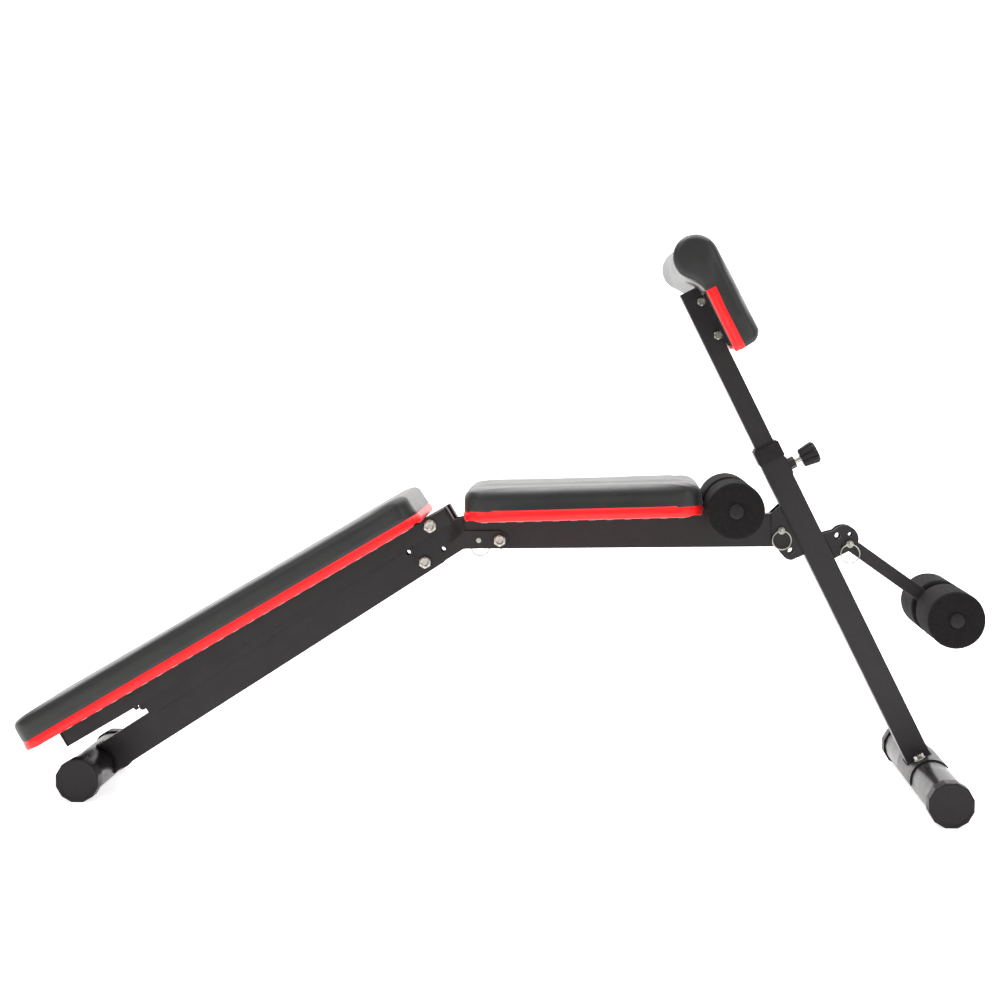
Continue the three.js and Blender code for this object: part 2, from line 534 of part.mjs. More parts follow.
// Spring plunger that locks the inner tube, with its fluted knob.
const KNOB = { start: 41, length: 27, inner: 12.6, outer: 16.6, flutes: 10 };
const plunger = () => join(barX(4.2, INNER.side / 2 + 0.5, KNOB.start + 15, 0, PULL_T, COARSE),
  barX(6.6, OUTER.side / 2 + 3, OUTER.side / 2 + 4.6, 0, PULL_T, COARSE));
const knobShell = () => {
  const { start, length, inner, outer, flutes } = KNOB;
  const cone = new THREE.CylinderGeometry(outer, inner, length - 3, 40).rotateZ(-Math.PI / 2)
    .translate(start + (length - 3) / 2, 0, PULL_T);
  const crown = new THREE.CylinderGeometry(outer - 3, outer, 3, 40).rotateZ(-Math.PI / 2)
    .translate(start + length - 1.5 - 0.01, 0, PULL_T);
  const grooves = Array.from({ length: flutes }, (_, i) => {
    const a = (i / flutes) * Math.PI * 2;
    const r = outer + 1.2;
    return barX(2.6, start - 1, start + length + 1, r * Math.sin(a), PULL_T + r * Math.cos(a), 10);
  });
  return cut(join(toSolid(cone), toSolid(crown)), ...grooves,
    barX(4.2 + GAP, start - 1, start + 15 + GAP, 0, PULL_T, COARSE));
};
put(front, 'pull_plunger', plunger(), ZINC);
put(front, 'pull_knob', knobShell(), PLASTIC);

// Quick-release pins of the fold and of the leg bar, pushed in from the near side.
const addPin = (name, [x, z]) => {
  const upright = place(front, [x, z], -POST_LEAN);
  put(upright, `${name}_pin`, lockPin(0, 0, -1, PLATE_OUT + 2, PIN_R), ZINC);
  put(upright, `${name}_ring`, wireRing(0, 0, -1), ZINC);
};
addPin('front', PIN_IN_FRONT);
addPin('leg', LEG_PIN);

// ---------------------------------------------------------------- inner post and arm pad
const bend = (solid) => solid.warp((p) => {
  p[0] -= HEAD.bow * (p[1] / HEAD.half) ** 2;
});
const innerPost = () => {
  const half = INNER.side / 2;
  const hollow = half - INNER.wall;
  const holes = [0, 1, 2, 3, 4].map((i) => barX(4.6, 10, 30, 0, PULL_T - 60 + i * 40, COARSE));
  const tube = cut(block([-half, -half, INNER.bottom], [half, half, INNER.top]),
    block([-hollow, -hollow, INNER.bottom - 1], [hollow, hollow, INNER.top - INNER.wall]), ...holes);
  const mount = block([half - 0.2, -35, 726], [HEAD.back + BOARD_LIFT - 2 * GAP, 35, 806]);
  return join(tube, mount);
};
put(front, 'inner_post', innerPost(), POWDER);
for (const [i, t] of [742.5, 799].entries()) {
  const face = INNER.side / 2 + GAP;
  put(front, `arm_pad_bolt_${i + 1}`, barY(6, -face - 6, -face, 9.5, t, 6), ZINC);
}

// The arm pad: a flat cushion that runs into a round roll over the top of the post.
const along = (outline, half, steps = 8) => {
  const shape = new THREE.Shape(outline.map(([x, z]) => new THREE.Vector2(x, z)));
  const body = new THREE.ExtrudeGeometry(shape, { depth: 2 * half, steps, bevelEnabled: false });
  return bend(toSolid(body.rotateX(Math.PI / 2).translate(0, half, 0)));
};
const headCushion = () => {
  const { back: b, front: f, low, rollT, rollN, rollR, band } = HEAD;
  const inner = b + band + GAP;
  return along([[inner, low], ...arc(f - 12, low + 12, 12, -90, 0, 4),
    ...arc(rollN + 1, rollT, rollR, -4, 246, 20), [inner, 811]], HEAD.half);
};
const padLayer = (n0, n1, t0, t1, half) => along([[n0, t0], [n1, t0], [n1, t1], [n0, t1]], half);
const BAND_TOP = 808;
const headBand = () => {
  const front = HEAD.back + HEAD.band;
  const inset = BOARD_INSET - GAP;
  return cut(padLayer(HEAD.back, front, HEAD.low, BAND_TOP, HEAD.half),
    padLayer(HEAD.back - 2, front + 2, HEAD.low + inset, BAND_TOP + 10, HEAD.half - inset));
};
put(front, 'arm_pad_cushion', headCushion(), LEATHER);
put(front, 'arm_pad_band', headBand(), RED);
put(front, 'arm_pad_board', padLayer(HEAD.back + BOARD_LIFT, HEAD.back + HEAD.band,
  HEAD.low + BOARD_INSET, BAND_TOP, HEAD.half - BOARD_INSET), BOARD);

// ---------------------------------------------------------------- leg bar
// Frame at its pin, X down along the bar to the rollers.
const bar = place(front, LEG_PIN, -(BAR_DROP + POST_LEAN));
const BAR_LENGTH = 175;
const legBar = () => {
  const tube = cut(tubeX(-27, BAR_LENGTH, 10, 10, 1.5), barY(PIN_R + GAP, -30, 30, 0, 0, COARSE),
    barY(4.5, -30, 30, -21, 0, COARSE), barY(SHAFT_R + 1, -30, 30, BAR_LENGTH, 0, 24));
  const sleeve = cut(barY(SHAFT_R + 3, -15, 15, BAR_LENGTH, 0, 24), barY(SHAFT_R + GAP, -20, 20, BAR_LENGTH, 0, 24));
  return join(tube, sleeve);
};
put(bar, 'leg_bar', legBar(), POWDER);
const legRoller = place(bar, [BAR_LENGTH, 0]);
put(legRoller, 'leg_roller_shaft', rollerShaft(), ZINC);
addRollers(legRoller, 'leg_roller', 16);

bench.updateMatrixWorld(true);
export default bench;
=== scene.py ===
"""Looks of an adjustable weight bench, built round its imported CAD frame. Metres, +Z up."""
import json
import logging
import math
from dataclasses import dataclass
from enum import Enum
from typing import Callable, Optional, Sequence

import bmesh
import bpy
from mathutils import Matrix, Vector, noise


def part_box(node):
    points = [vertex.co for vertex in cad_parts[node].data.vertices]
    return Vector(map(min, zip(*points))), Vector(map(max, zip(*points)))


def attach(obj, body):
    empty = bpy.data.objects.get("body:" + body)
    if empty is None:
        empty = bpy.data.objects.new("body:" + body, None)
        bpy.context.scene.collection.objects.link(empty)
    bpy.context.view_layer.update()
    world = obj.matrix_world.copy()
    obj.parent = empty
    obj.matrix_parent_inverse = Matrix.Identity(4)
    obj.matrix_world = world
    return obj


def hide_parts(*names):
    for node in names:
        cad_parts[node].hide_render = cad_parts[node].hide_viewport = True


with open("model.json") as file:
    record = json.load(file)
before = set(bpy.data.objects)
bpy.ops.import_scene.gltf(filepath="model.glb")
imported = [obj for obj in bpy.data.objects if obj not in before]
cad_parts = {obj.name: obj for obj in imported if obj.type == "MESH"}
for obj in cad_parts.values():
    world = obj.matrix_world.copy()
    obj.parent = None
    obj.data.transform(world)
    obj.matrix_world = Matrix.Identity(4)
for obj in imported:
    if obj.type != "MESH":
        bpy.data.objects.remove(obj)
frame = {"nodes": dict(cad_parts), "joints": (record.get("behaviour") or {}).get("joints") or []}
bpy.context.view_layer.update()

LOG = logging.getLogger("bench")
JOINTS = {joint["name"]: joint for joint in frame["joints"]}
MM = 0.001
FRAME_CLEAR = 0.034

Point = tuple[float, float]
SIDES = (("near", -1), ("far", 1))


# ---------------------------------------------------------------- places
@dataclass(frozen=True)
class Axes:
    """Turned axes in the bench's side view: s runs up the slope, n stands off it.

    Args:
        origin: the point that s, y and n are counted from.
        rise: how far s rises above level, in degrees.
    """

    origin: Vector
    rise: float

    def matrix(self) -> Matrix:
        """Return the matrix that takes (s, y, n) to the bench's own frame."""
        return Matrix.Translation(self.origin) @ Matrix.Rotation(-math.radians(self.rise), 4, "Y")

    def at(self, s: float, y: float, n: float) -> Vector:
        """Return a point of these axes in the bench's own frame."""
        return self.matrix() @ Vector((s, y, n))

    def extent(self, *nodes: str) -> tuple[Vector, Vector]:
        """Measure CAD nodes in these axes.

        Args:
            nodes: names of the CAD nodes.

        Returns:
            The lowest and the highest corner, as (s, y, n).
        """
        back = self.matrix().inverted()
        points = [back @ v.co for name in nodes for v in frame["nodes"][name].data.vertices]
        low = Vector([min(p[i] for p in points) for i in range(3)])
        high = Vector([max(p[i] for p in points) for i in range(3)])
        return low, high


def pivot(joint: str) -> Vector:
    """Return the place of a hinge."""
    return Vector(JOINTS[joint]["pos_m"])


def middle(node: str) -> Vector:
    """Return the middle of a CAD node's box."""
    low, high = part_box(node)
    return (Vector(low) + Vector(high)) / 2


SLOPE = 32.8
BACK = Axes(pivot("backrest_tilt"), 30.4)
SEAT = Axes(pivot("rear_fold"), 0.7)
SEAT_PAD = Axes(pivot("rear_fold"), 1.7)
REAR = Axes(middle("rear_foot_tube"), SLOPE)
# Up the front post is s, and n points to its back, towards the seat.
POST = Axes(middle("front_foot_tube"), 90 + 26.5)
BAR = Axes(pivot("leg_bar_swing"), -35.4)


# ---------------------------------------------------------------- node helpers
def linear(code: str) -> tuple[float, float, float, float]:
    """Turn an sRGB hex colour into the linear values that sockets take."""
    parts = [int(code[i:i + 2], 16) / 255 for i in (1, 3, 5)]
    lit = [c / 12.92 if c <= 0.04045 else ((c + 0.055) / 1.055) ** 2.4 for c in parts]
    return (lit[0], lit[1], lit[2], 1.0)


def add_node(
    tree: bpy.types.NodeTree, kind: str, inputs: Optional[dict] = None, **settings: object
) -> bpy.types.Node:
    """Add a node with its settings and links.

    Args:
        tree: the tree that gets the node.
        kind: the node's type name.
        inputs: input name or number to a value, or to the socket it is linked from.
        settings: the node's own properties.

    Returns:
        The new node.
    """
    made = tree.nodes.new(kind)
    for name, value in settings.items():
        setattr(made, name, value)
    for key, value in (inputs or {}).items():
        if isinstance(value, bpy.types.NodeSocket):
            tree.links.new(value, made.inputs[key])
        else:
            made.inputs[key].default_value = value
    return made


# ---------------------------------------------------------------- finishes
@dataclass(frozen=True)
class Finish:
    """A finish: a material named for what the real one is and how its surface was made.

    Args:
        name: the material's name.
        slot: name of the record's material slot for this finish; not used.
        colour: sRGB hex colour.
        roughness: middle roughness.
    """

    name: str
    slot: str
    colour: str
    roughness: float

    def material(self) -> bpy.types.Material:
        """Return this finish's material, made once."""
        known = bpy.data.materials.get(self.name)
        if known:
            return known
        made = bpy.data.materials.new(self.name)
        made.use_nodes = True
        tree = made.node_tree
        tree.nodes.clear()
        shader = add_node(tree, "ShaderNodeBsdfPrincipled", {
            "Base Color": linear(self.colour), "Roughness": self.roughness})
        add_node(tree, "ShaderNodeOutputMaterial", {"Surface": shader.outputs[0]})
        place = add_node(tree, "ShaderNodeTexCoord").outputs["Object"]
        self.dress(tree, shader, place)
        return made

    def dress(self, tree: bpy.types.NodeTree, shader: bpy.types.Node, place: bpy.types.NodeSocket) -> None:
        """Add the pattern of this finish to its shader."""

    def grain(self, tree: bpy.types.NodeTree, place: bpy.types.NodeSocket, size_mm: float,
              detail: float = 3.0) -> bpy.types.NodeSocket:
        """Return a noise pattern whose patches are about size_mm across."""
        found = add_node(tree, "ShaderNodeTexNoise", {
            "Vector": place, "Scale": 1 / (size_mm * MM), "Detail": detail, "Roughness": 0.55})
        return found.outputs["Fac"]

    def spread(self, tree: bpy.types.NodeTree, fac: bpy.types.NodeSocket, low: float,
               high: float) -> bpy.types.NodeSocket:
        """Return a pattern stretched to run from low to high over its usual middle range."""
        mapped = add_node(tree, "ShaderNodeMapRange", {
            "Value": fac, "From Min": 0.3, "From Max": 0.7, "To Min": low, "To Max": high})
        return mapped.outputs["Result"]

    def tint(self, tree: bpy.types.NodeTree, fac: bpy.types.NodeSocket, first: str,
             second: str) -> bpy.types.NodeSocket:
        """Return a colour that goes from one hex colour to another with a pattern."""
        mixed = add_node(tree, "ShaderNodeMix", {
            "Factor": fac, 6: linear(first), 7: linear(second)}, data_type="RGBA")
        return mixed.outputs[2]

    def relief(self, tree: bpy.types.NodeTree, height: bpy.types.NodeSocket, depth_mm: float,
               strength: float = 1.0, below: Optional[bpy.types.NodeSocket] = None) -> bpy.types.NodeSocket:
        """Return a bumped normal whose relief is depth_mm deep."""
        inputs = {"Height": height, "Distance": depth_mm * MM, "Strength": strength}
        if below is not None:
            inputs["Normal"] = below
        return add_node(tree, "ShaderNodeBump", inputs).outputs["Normal"]


@dataclass(frozen=True)
class PowderCoat(Finish):
    """Baked polyester powder on steel: satin, with a fine orange peel and a little handling dust."""

    dust: str = "#292526"
    peel_mm: float = 1.4

    def dress(self, tree: bpy.types.NodeTree, shader: bpy.types.Node, place: bpy.types.NodeSocket) -> None:
        """Add orange peel, cloudy gloss and faint dust."""
        shader.inputs["Specular IOR Level"].default_value = 0.33
        clouds = self.grain(tree, place, 45, 5)
        dust = self.spread(tree, self.grain(tree, place, 9, 8), -0.25, 0.3)
        tree.links.new(self.tint(tree, dust, self.colour, self.dust), shader.inputs["Base Color"])
        tree.links.new(self.spread(tree, clouds, self.roughness - 0.05, self.roughness + 0.06),
                       shader.inputs["Roughness"])
        peel = self.grain(tree, place, self.peel_mm, 2)
        tree.links.new(self.relief(tree, peel, 0.12, 0.35), shader.inputs["Normal"])


@dataclass(frozen=True)
class GlossEnamel(Finish):
    """Stoved gloss enamel on round tube: a wet black that mirrors what is round it."""

    def dress(self, tree: bpy.types.NodeTree, shader: bpy.types.Node, place: bpy.types.NodeSocket) -> None:
        """Add a slightly wavy, smeared gloss."""
        shader.inputs["Specular IOR Level"].default_value = 0.22
        smear = self.grain(tree, place, 30, 5)
        tree.links.new(self.spread(tree, smear, self.roughness, self.roughness + 0.08),
                       shader.inputs["Roughness"])
        tree.links.new(self.tint(tree, self.spread(tree, smear, 0, 1), self.colour, "#232123"),
                       shader.inputs["Base Color"])
        wave = self.grain(tree, place, 6, 1)
        tree.links.new(self.relief(tree, wave, 0.06, 0.3), shader.inputs["Normal"])


@dataclass(frozen=True)
class Leatherette(Finish):
    """Vinyl-coated cloth with an embossed hide grain; the pebbles are drawn 2.2 mm wide to show."""

    worn: str = "#232322"
    pebble_mm: float = 2.2
    sheen: float = 0.12

    def dress(self, tree: bpy.types.NodeTree, shader: bpy.types.Node, place: bpy.types.NodeSocket) -> None:
        """Add pebbles, creases between them, slow ripples and patches polished by use."""
        shader.inputs["Specular IOR Level"].default_value = 0.4
        shader.inputs["Sheen Weight"].default_value = self.sheen
        shader.inputs["Sheen Roughness"].default_value = 0.4
        wobble = add_node(tree, "ShaderNodeTexNoise", {
            "Vector": place, "Scale": 1 / (4 * MM), "Detail": 2.0})
        bent = add_node(tree, "ShaderNodeVectorMath", {
            0: wobble.outputs["Color"], 1: (0.0012, 0.0012, 0.0012), 2: place}, operation="MULTIPLY_ADD")
        cells = add_node(tree, "ShaderNodeTexVoronoi", {
            "Vector": bent.outputs[0], "Scale": 1 / (self.pebble_mm * MM)}, feature="DISTANCE_TO_EDGE")
        crease = add_node(tree, "ShaderNodeMapRange", {
            "Value": cells.outputs["Distance"], "From Min": 0.0, "From Max": 0.22})
        ripple = self.grain(tree, place, 38, 2)
        below = self.relief(tree, ripple, 1.2, 0.5)
        tree.links.new(self.relief(tree, crease.outputs["Result"], 0.14, 0.55, below),
                       shader.inputs["Normal"])
        use = self.spread(tree, self.grain(tree, place, 60, 5), -0.1, 0.75)
        tree.links.new(self.tint(tree, use, self.colour, self.worn), shader.inputs["Base Color"])
        shine = add_node(tree, "ShaderNodeMath", {
            0: crease.outputs["Result"], 1: -0.08, 2: self.roughness + 0.06}, operation="MULTIPLY_ADD")
        tree.links.new(shine.outputs[0], shader.inputs["Roughness"])


@dataclass(frozen=True)
class ClosedCellFoam(Finish):
    """Skinned closed-cell rubber foam: dead matt, with cells a millimetre across."""

    cell_mm: float = 1.1

    def dress(self, tree: bpy.types.NodeTree, shader: bpy.types.Node, place: bpy.types.NodeSocket) -> None:
        """Add open cells and a dusty mottling."""
        shader.inputs["Specular IOR Level"].default_value = 0.12
        cells = add_node(tree, "ShaderNodeTexVoronoi", {"Vector": place, "Scale": 1 / (self.cell_mm * MM)})
        soft = self.relief(tree, self.grain(tree, place, 14, 3), 0.9, 0.5)
        tree.links.new(self.relief(tree, cells.outputs["Distance"], 0.25, 0.7, soft),
                       shader.inputs["Normal"])
        mottle = self.spread(tree, self.grain(tree, place, 5, 6), 0, 1)
        tree.links.new(self.tint(tree, mottle, self.colour, "#1d1b1b"), shader.inputs["Base Color"])


@dataclass(frozen=True)
class MouldedPlastic(Finish):
    """Injection-moulded polypropylene with a spark-eroded texture."""

    scuffed: str = "#1e1a1b"

    def dress(self, tree: bpy.types.NodeTree, shader: bpy.types.Node, place: bpy.types.NodeSocket) -> None:
        """Add the mould's fine texture, flow clouds and scuffs."""
        shader.inputs["Specular IOR Level"].default_value = 0.25
        texture = self.grain(tree, place, 0.9, 3)
        tree.links.new(self.relief(tree, texture, 0.12, 0.5), shader.inputs["Normal"])
        clouds = self.grain(tree, place, 16, 6)
        tree.links.new(self.tint(tree, self.spread(tree, clouds, -0.1, 0.8), self.colour, self.scuffed),
                       shader.inputs["Base Color"])
        tree.links.new(self.spread(tree, clouds, self.roughness - 0.06, self.roughness + 0.08),
                       shader.inputs["Roughness"])


@dataclass(frozen=True)
class ZincPlate(Finish):
    """Bright zinc plating on turned steel: a soft mirror with faint turning marks and yellow clouds."""

    def dress(self, tree: bpy.types.NodeTree, shader: bpy.types.Node, place: bpy.types.NodeSocket) -> None:
        """Add the plating's clouds and the marks of the lathe."""
        shader.inputs["Metallic"].default_value = 1.0
        clouds = self.grain(tree, place, 5, 4)
        tree.links.new(self.tint(tree, self.spread(tree, clouds, 0, 1), self.colour, "#a9a69d"),
                       shader.inputs["Base Color"])
        tree.links.new(self.spread(tree, clouds, self.roughness - 0.06, self.roughness + 0.12),
                       shader.inputs["Roughness"])
        marks = add_node(tree, "ShaderNodeTexNoise", {
            "Vector": add_node(tree, "ShaderNodeMapping", {
                "Vector": place, "Scale": (1.0, 0.15, 1.0)}).outputs[0],
            "Scale": 1 / (0.6 * MM), "Detail": 2.0})
        tree.links.new(self.relief(tree, marks.outputs["Fac"], 0.03, 0.4), shader.inputs["Normal"])


@dataclass(frozen=True)
class DustCloth(Finish):
    """Spun-bonded polypropylene cloth under a pad: matt black with a grid of pressed dots."""

    dot_mm: float = 2.0

    def dress(self, tree: bpy.types.NodeTree, shader: bpy.types.Node, place: bpy.types.NodeSocket) -> None:
        """Add the pressed dots and loose fibres."""
        dots = add_node(tree, "ShaderNodeTexVoronoi", {
            "Vector": place, "Scale": 1 / (self.dot_mm * MM), "Randomness": 0.0})
        fibres = self.relief(tree, self.grain(tree, place, 0.8, 6), 0.2, 0.6)
        tree.links.new(self.relief(tree, dots.outputs["Distance"], 0.3, 0.5, fibres),
                       shader.inputs["Normal"])
        tree.links.new(self.tint(tree, self.spread(tree, self.grain(tree, place, 12, 6), 0, 1),
                                 self.colour, "#2d2a29"), shader.inputs["Base Color"])


@dataclass(frozen=True)
class BackdropPaper(Finish):
    """Seamless white backdrop paper, lit from behind."""

    glow: float = 0.7

    def dress(self, tree: bpy.types.NodeTree, shader: bpy.types.Node, place: bpy.types.NodeSocket) -> None:
        """Add the paper's glow and faint tooth."""
        shader.inputs["Emission Color"].default_value = linear("#ffffff")
        shader.inputs["Emission Strength"].default_value = self.glow
        tooth = self.grain(tree, place, 2.5, 3)
        tree.links.new(self.relief(tree, tooth, 0.05, 0.2), shader.inputs["Normal"])


class Skin(Enum):
    """The bench's finishes."""

    POWDER = PowderCoat("charcoal_powder_coat", "powder_coat", "#1f1c1d", 0.42)
    GLOSS = GlossEnamel("black_stoved_enamel", "gloss_coat", "#141314", 0.26)
    BLACK = Leatherette("black_embossed_vinyl", "leatherette", "#1b1b1b", 0.36)
    RED = Leatherette("red_embossed_vinyl", "red_leatherette", "#e2070d", 0.34, worn="#ee1218", sheen=0.05)
    FOAM = ClosedCellFoam("skinned_rubber_foam", "foam", "#161515", 0.85)
    PLASTIC = MouldedPlastic("moulded_polypropylene", "plastic", "#151213", 0.45)
    ZINC = ZincPlate("bright_zinc_plate", "zinc", "#b4b2ae", 0.28)
    CLOTH = DustCloth("spun_bonded_cloth", "board", "#1f1d1c", 0.9)
    PAPER = BackdropPaper("backdrop_paper", "", "#f7f6f5", 0.9)


# ---------------------------------------------------------------- mesh helpers
CREASE = math.radians(32)


def make_object(name: str, bm: bmesh.types.BMesh, skin: Skin, crease: float = CREASE) -> bpy.types.Object:
    """Turn a bmesh into a linked object with smooth faces between its creases.

    Args:
        name: the object's name.
        bm: the shape, freed here.
        skin: its finish.
        crease: the angle past which an edge stays sharp.

    Returns:
        The new object.
    """
    for face in bm.faces:
        face.smooth = True
    for edge in bm.edges:
        edge.smooth = len(edge.link_faces) == 2 and edge.calc_face_angle(0.0) < crease
    mesh = bpy.data.meshes.new(name)
    bm.to_mesh(mesh)
    bm.free()
    made = bpy.data.objects.new(name, mesh)
    bpy.context.scene.collection.objects.link(made)
    mesh.materials.append(skin.value.material())
    return made


def bake(piece: bpy.types.Object) -> bpy.types.Object:
    """Apply a piece's modifiers to its mesh and return the piece."""
    graph = bpy.context.evaluated_depsgraph_get()
    graph.update()
    mesh = bpy.data.meshes.new_from_object(piece.evaluated_get(graph))
    piece.modifiers.clear()
    piece.data = mesh
    return piece


def weight_normals(piece: bpy.types.Object) -> bpy.types.Object:
    """Keep large flat faces flat beside their rounded edges, and return the piece."""
    weighted = piece.modifiers.new("flats", "WEIGHTED_NORMAL")
    weighted.keep_sharp = True
    return bake(piece)


def settle(piece: bpy.types.Object, body: str, skin: Skin, *nodes: str) -> bpy.types.Object:
    """Parent a finished piece to its body and hide the CAD nodes that it stands for.

    Args:
        piece: the finished piece.
        body: the CAD body that it moves with.
        skin: its finish; not used.
        nodes: the CAD nodes that it replaces.

    Returns:
        The piece.
    """
    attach(piece, body)
    if nodes:
        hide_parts(*nodes)
    LOG.info("%s rides on %s: %d faces", piece.name, body, len(piece.data.polygons))
    return piece


def eased(points: Sequence[tuple[float, float, float]], steps: int = 4) -> list[Point]:
    """Round the corners of a profile.

    Args:
        points: (radius, y, rounding) of each corner.
        steps: how many pieces a rounded corner has.

    Returns:
        The (radius, y) points of the eased profile.
    """
    path: list[Point] = []
    last = len(points) - 1
    for i, (r, y, ease) in enumerate(points):
        if ease == 0 or i in (0, last):
            path.append((r, y))
            continue
        here = Vector((r, y))
        before = (Vector(points[i - 1][:2]) - here).normalized() * ease
        after = (Vector(points[i + 1][:2]) - here).normalized() * ease
        for k in range(steps + 1):
            t = k / steps
            spot = here + before * (1 - t) ** 2 + after * t ** 2
            path.append((spot.x, spot.y))
    return path


def turned(
    profile: Sequence[Point], where: Matrix, sides: int = 64, closed: bool = False,
    shape: Optional[Callable[[float, float, float], float]] = None,
) -> bmesh.types.BMesh:
    """Spin a profile about the Y axis.

    Args:
        profile: (radius, y) points; a radius of 0 is a pole.
        where: the matrix that places the result.
        sides: how many flats it has.
        closed: whether the last point joins the first, as in a ring or a tube.
        shape: an optional rule for the radius from (angle, radius, y).

    Returns:
        The spun shape.
    """
    bm = bmesh.new()
    rows = []
    for r, y in profile:
        count = 1 if r == 0 else sides
        row = []
        for i in range(count):
            a = 2 * math.pi * i / sides
            reach = shape(a, r, y) if shape and r else r
            row.append(bm.verts.new((reach * math.cos(a), y, reach * math.sin(a))))
        rows.append(row)
    pairs = list(zip(rows, rows[1:]))
    if closed:
        pairs.append((rows[-1], rows[0]))
    for one, two in pairs:
        for i in range(sides):
            corners = [one[i % len(one)], one[(i + 1) % len(one)],
                       two[(i + 1) % len(two)], two[i % len(two)]]
            unique = list(dict.fromkeys(corners))
            if len(unique) > 2:
                bm.faces.new(unique)
    bmesh.ops.recalc_face_normals(bm, faces=bm.faces)
    bm.transform(where)
    return bm


def merge(*shapes: bmesh.types.BMesh) -> bmesh.types.BMesh:
    """Put several shapes into one and return it."""
    whole = bmesh.new()
    for shape in shapes:
        part = bpy.data.meshes.new("part")
        shape.to_mesh(part)
        shape.free()
        whole.from_mesh(part)
        bpy.data.meshes.remove(part)
    return whole


def polygon_radius(flats: int) -> Callable[[float, float], float]:
    """Return the rule that gives a polygon's reach at an angle from its radius to a flat."""
    def reach(angle: float, flat: float) -> float:
        step = 2 * math.pi / flats
        off = (angle + step / 2) % step - step / 2
        return flat / math.cos(off)
    return reach


@dataclass(frozen=True)
class Softening:
    """How a copy of a CAD node is softened.

    Args:
        corner: radius on long tube edges.
        fine: radius on every other sharp edge.
        long: the shortest edge that counts as a tube edge.
    """

    corner: float = 2.6 * MM
    fine: float = 0.45 * MM
    long: float = 30 * MM

    def copy(self, node: str, name: str, skin: Skin) -> bpy.types.Object:
        """Copy a CAD node with its tube corners and cut edges rounded.

        Args:
            node: the CAD node.
            name: the copy's name.
            skin: its finish.

        Returns:
            The rounded copy.
        """
        bm = bmesh.new()
        bm.from_mesh(frame["nodes"][node].data)
        bmesh.ops.remove_doubles(bm, verts=bm.verts, dist=0.01 * MM)
        bmesh.ops.dissolve_limit(bm, angle_limit=math.radians(1), verts=bm.verts, edges=bm.edges)
        tube = [e for e in self.sharp(bm, 80) if e.calc_length() > self.long]
        self.bevel(bm, tube, self.corner, 3)
        bmesh.ops.dissolve_limit(bm, angle_limit=math.radians(0.5), verts=bm.verts, edges=bm.edges)
        self.bevel(bm, self.sharp(bm, 40), self.fine, 2)
        bmesh.ops.triangulate(bm, faces=[f for f in bm.faces if len(f.verts) > 4])
        return weight_normals(make_object(name, bm, skin))

    def sharp(self, bm: bmesh.types.BMesh, degrees: float) -> list[bmesh.types.BMEdge]:
        """Return the outward edges that are sharper than an angle."""
        limit = math.radians(degrees)
        return [e for e in bm.edges
                if len(e.link_faces) == 2 and e.is_convex and e.calc_face_angle(0.0) > limit]

    def bevel(self, bm: bmesh.types.BMesh, edges: list, width: float, steps: int) -> None:
        """Round some edges."""
        bmesh.ops.bevel(bm, geom=edges, offset=width, segments=steps, profile=0.5, affect="EDGES",
                        clamp_overlap=True)


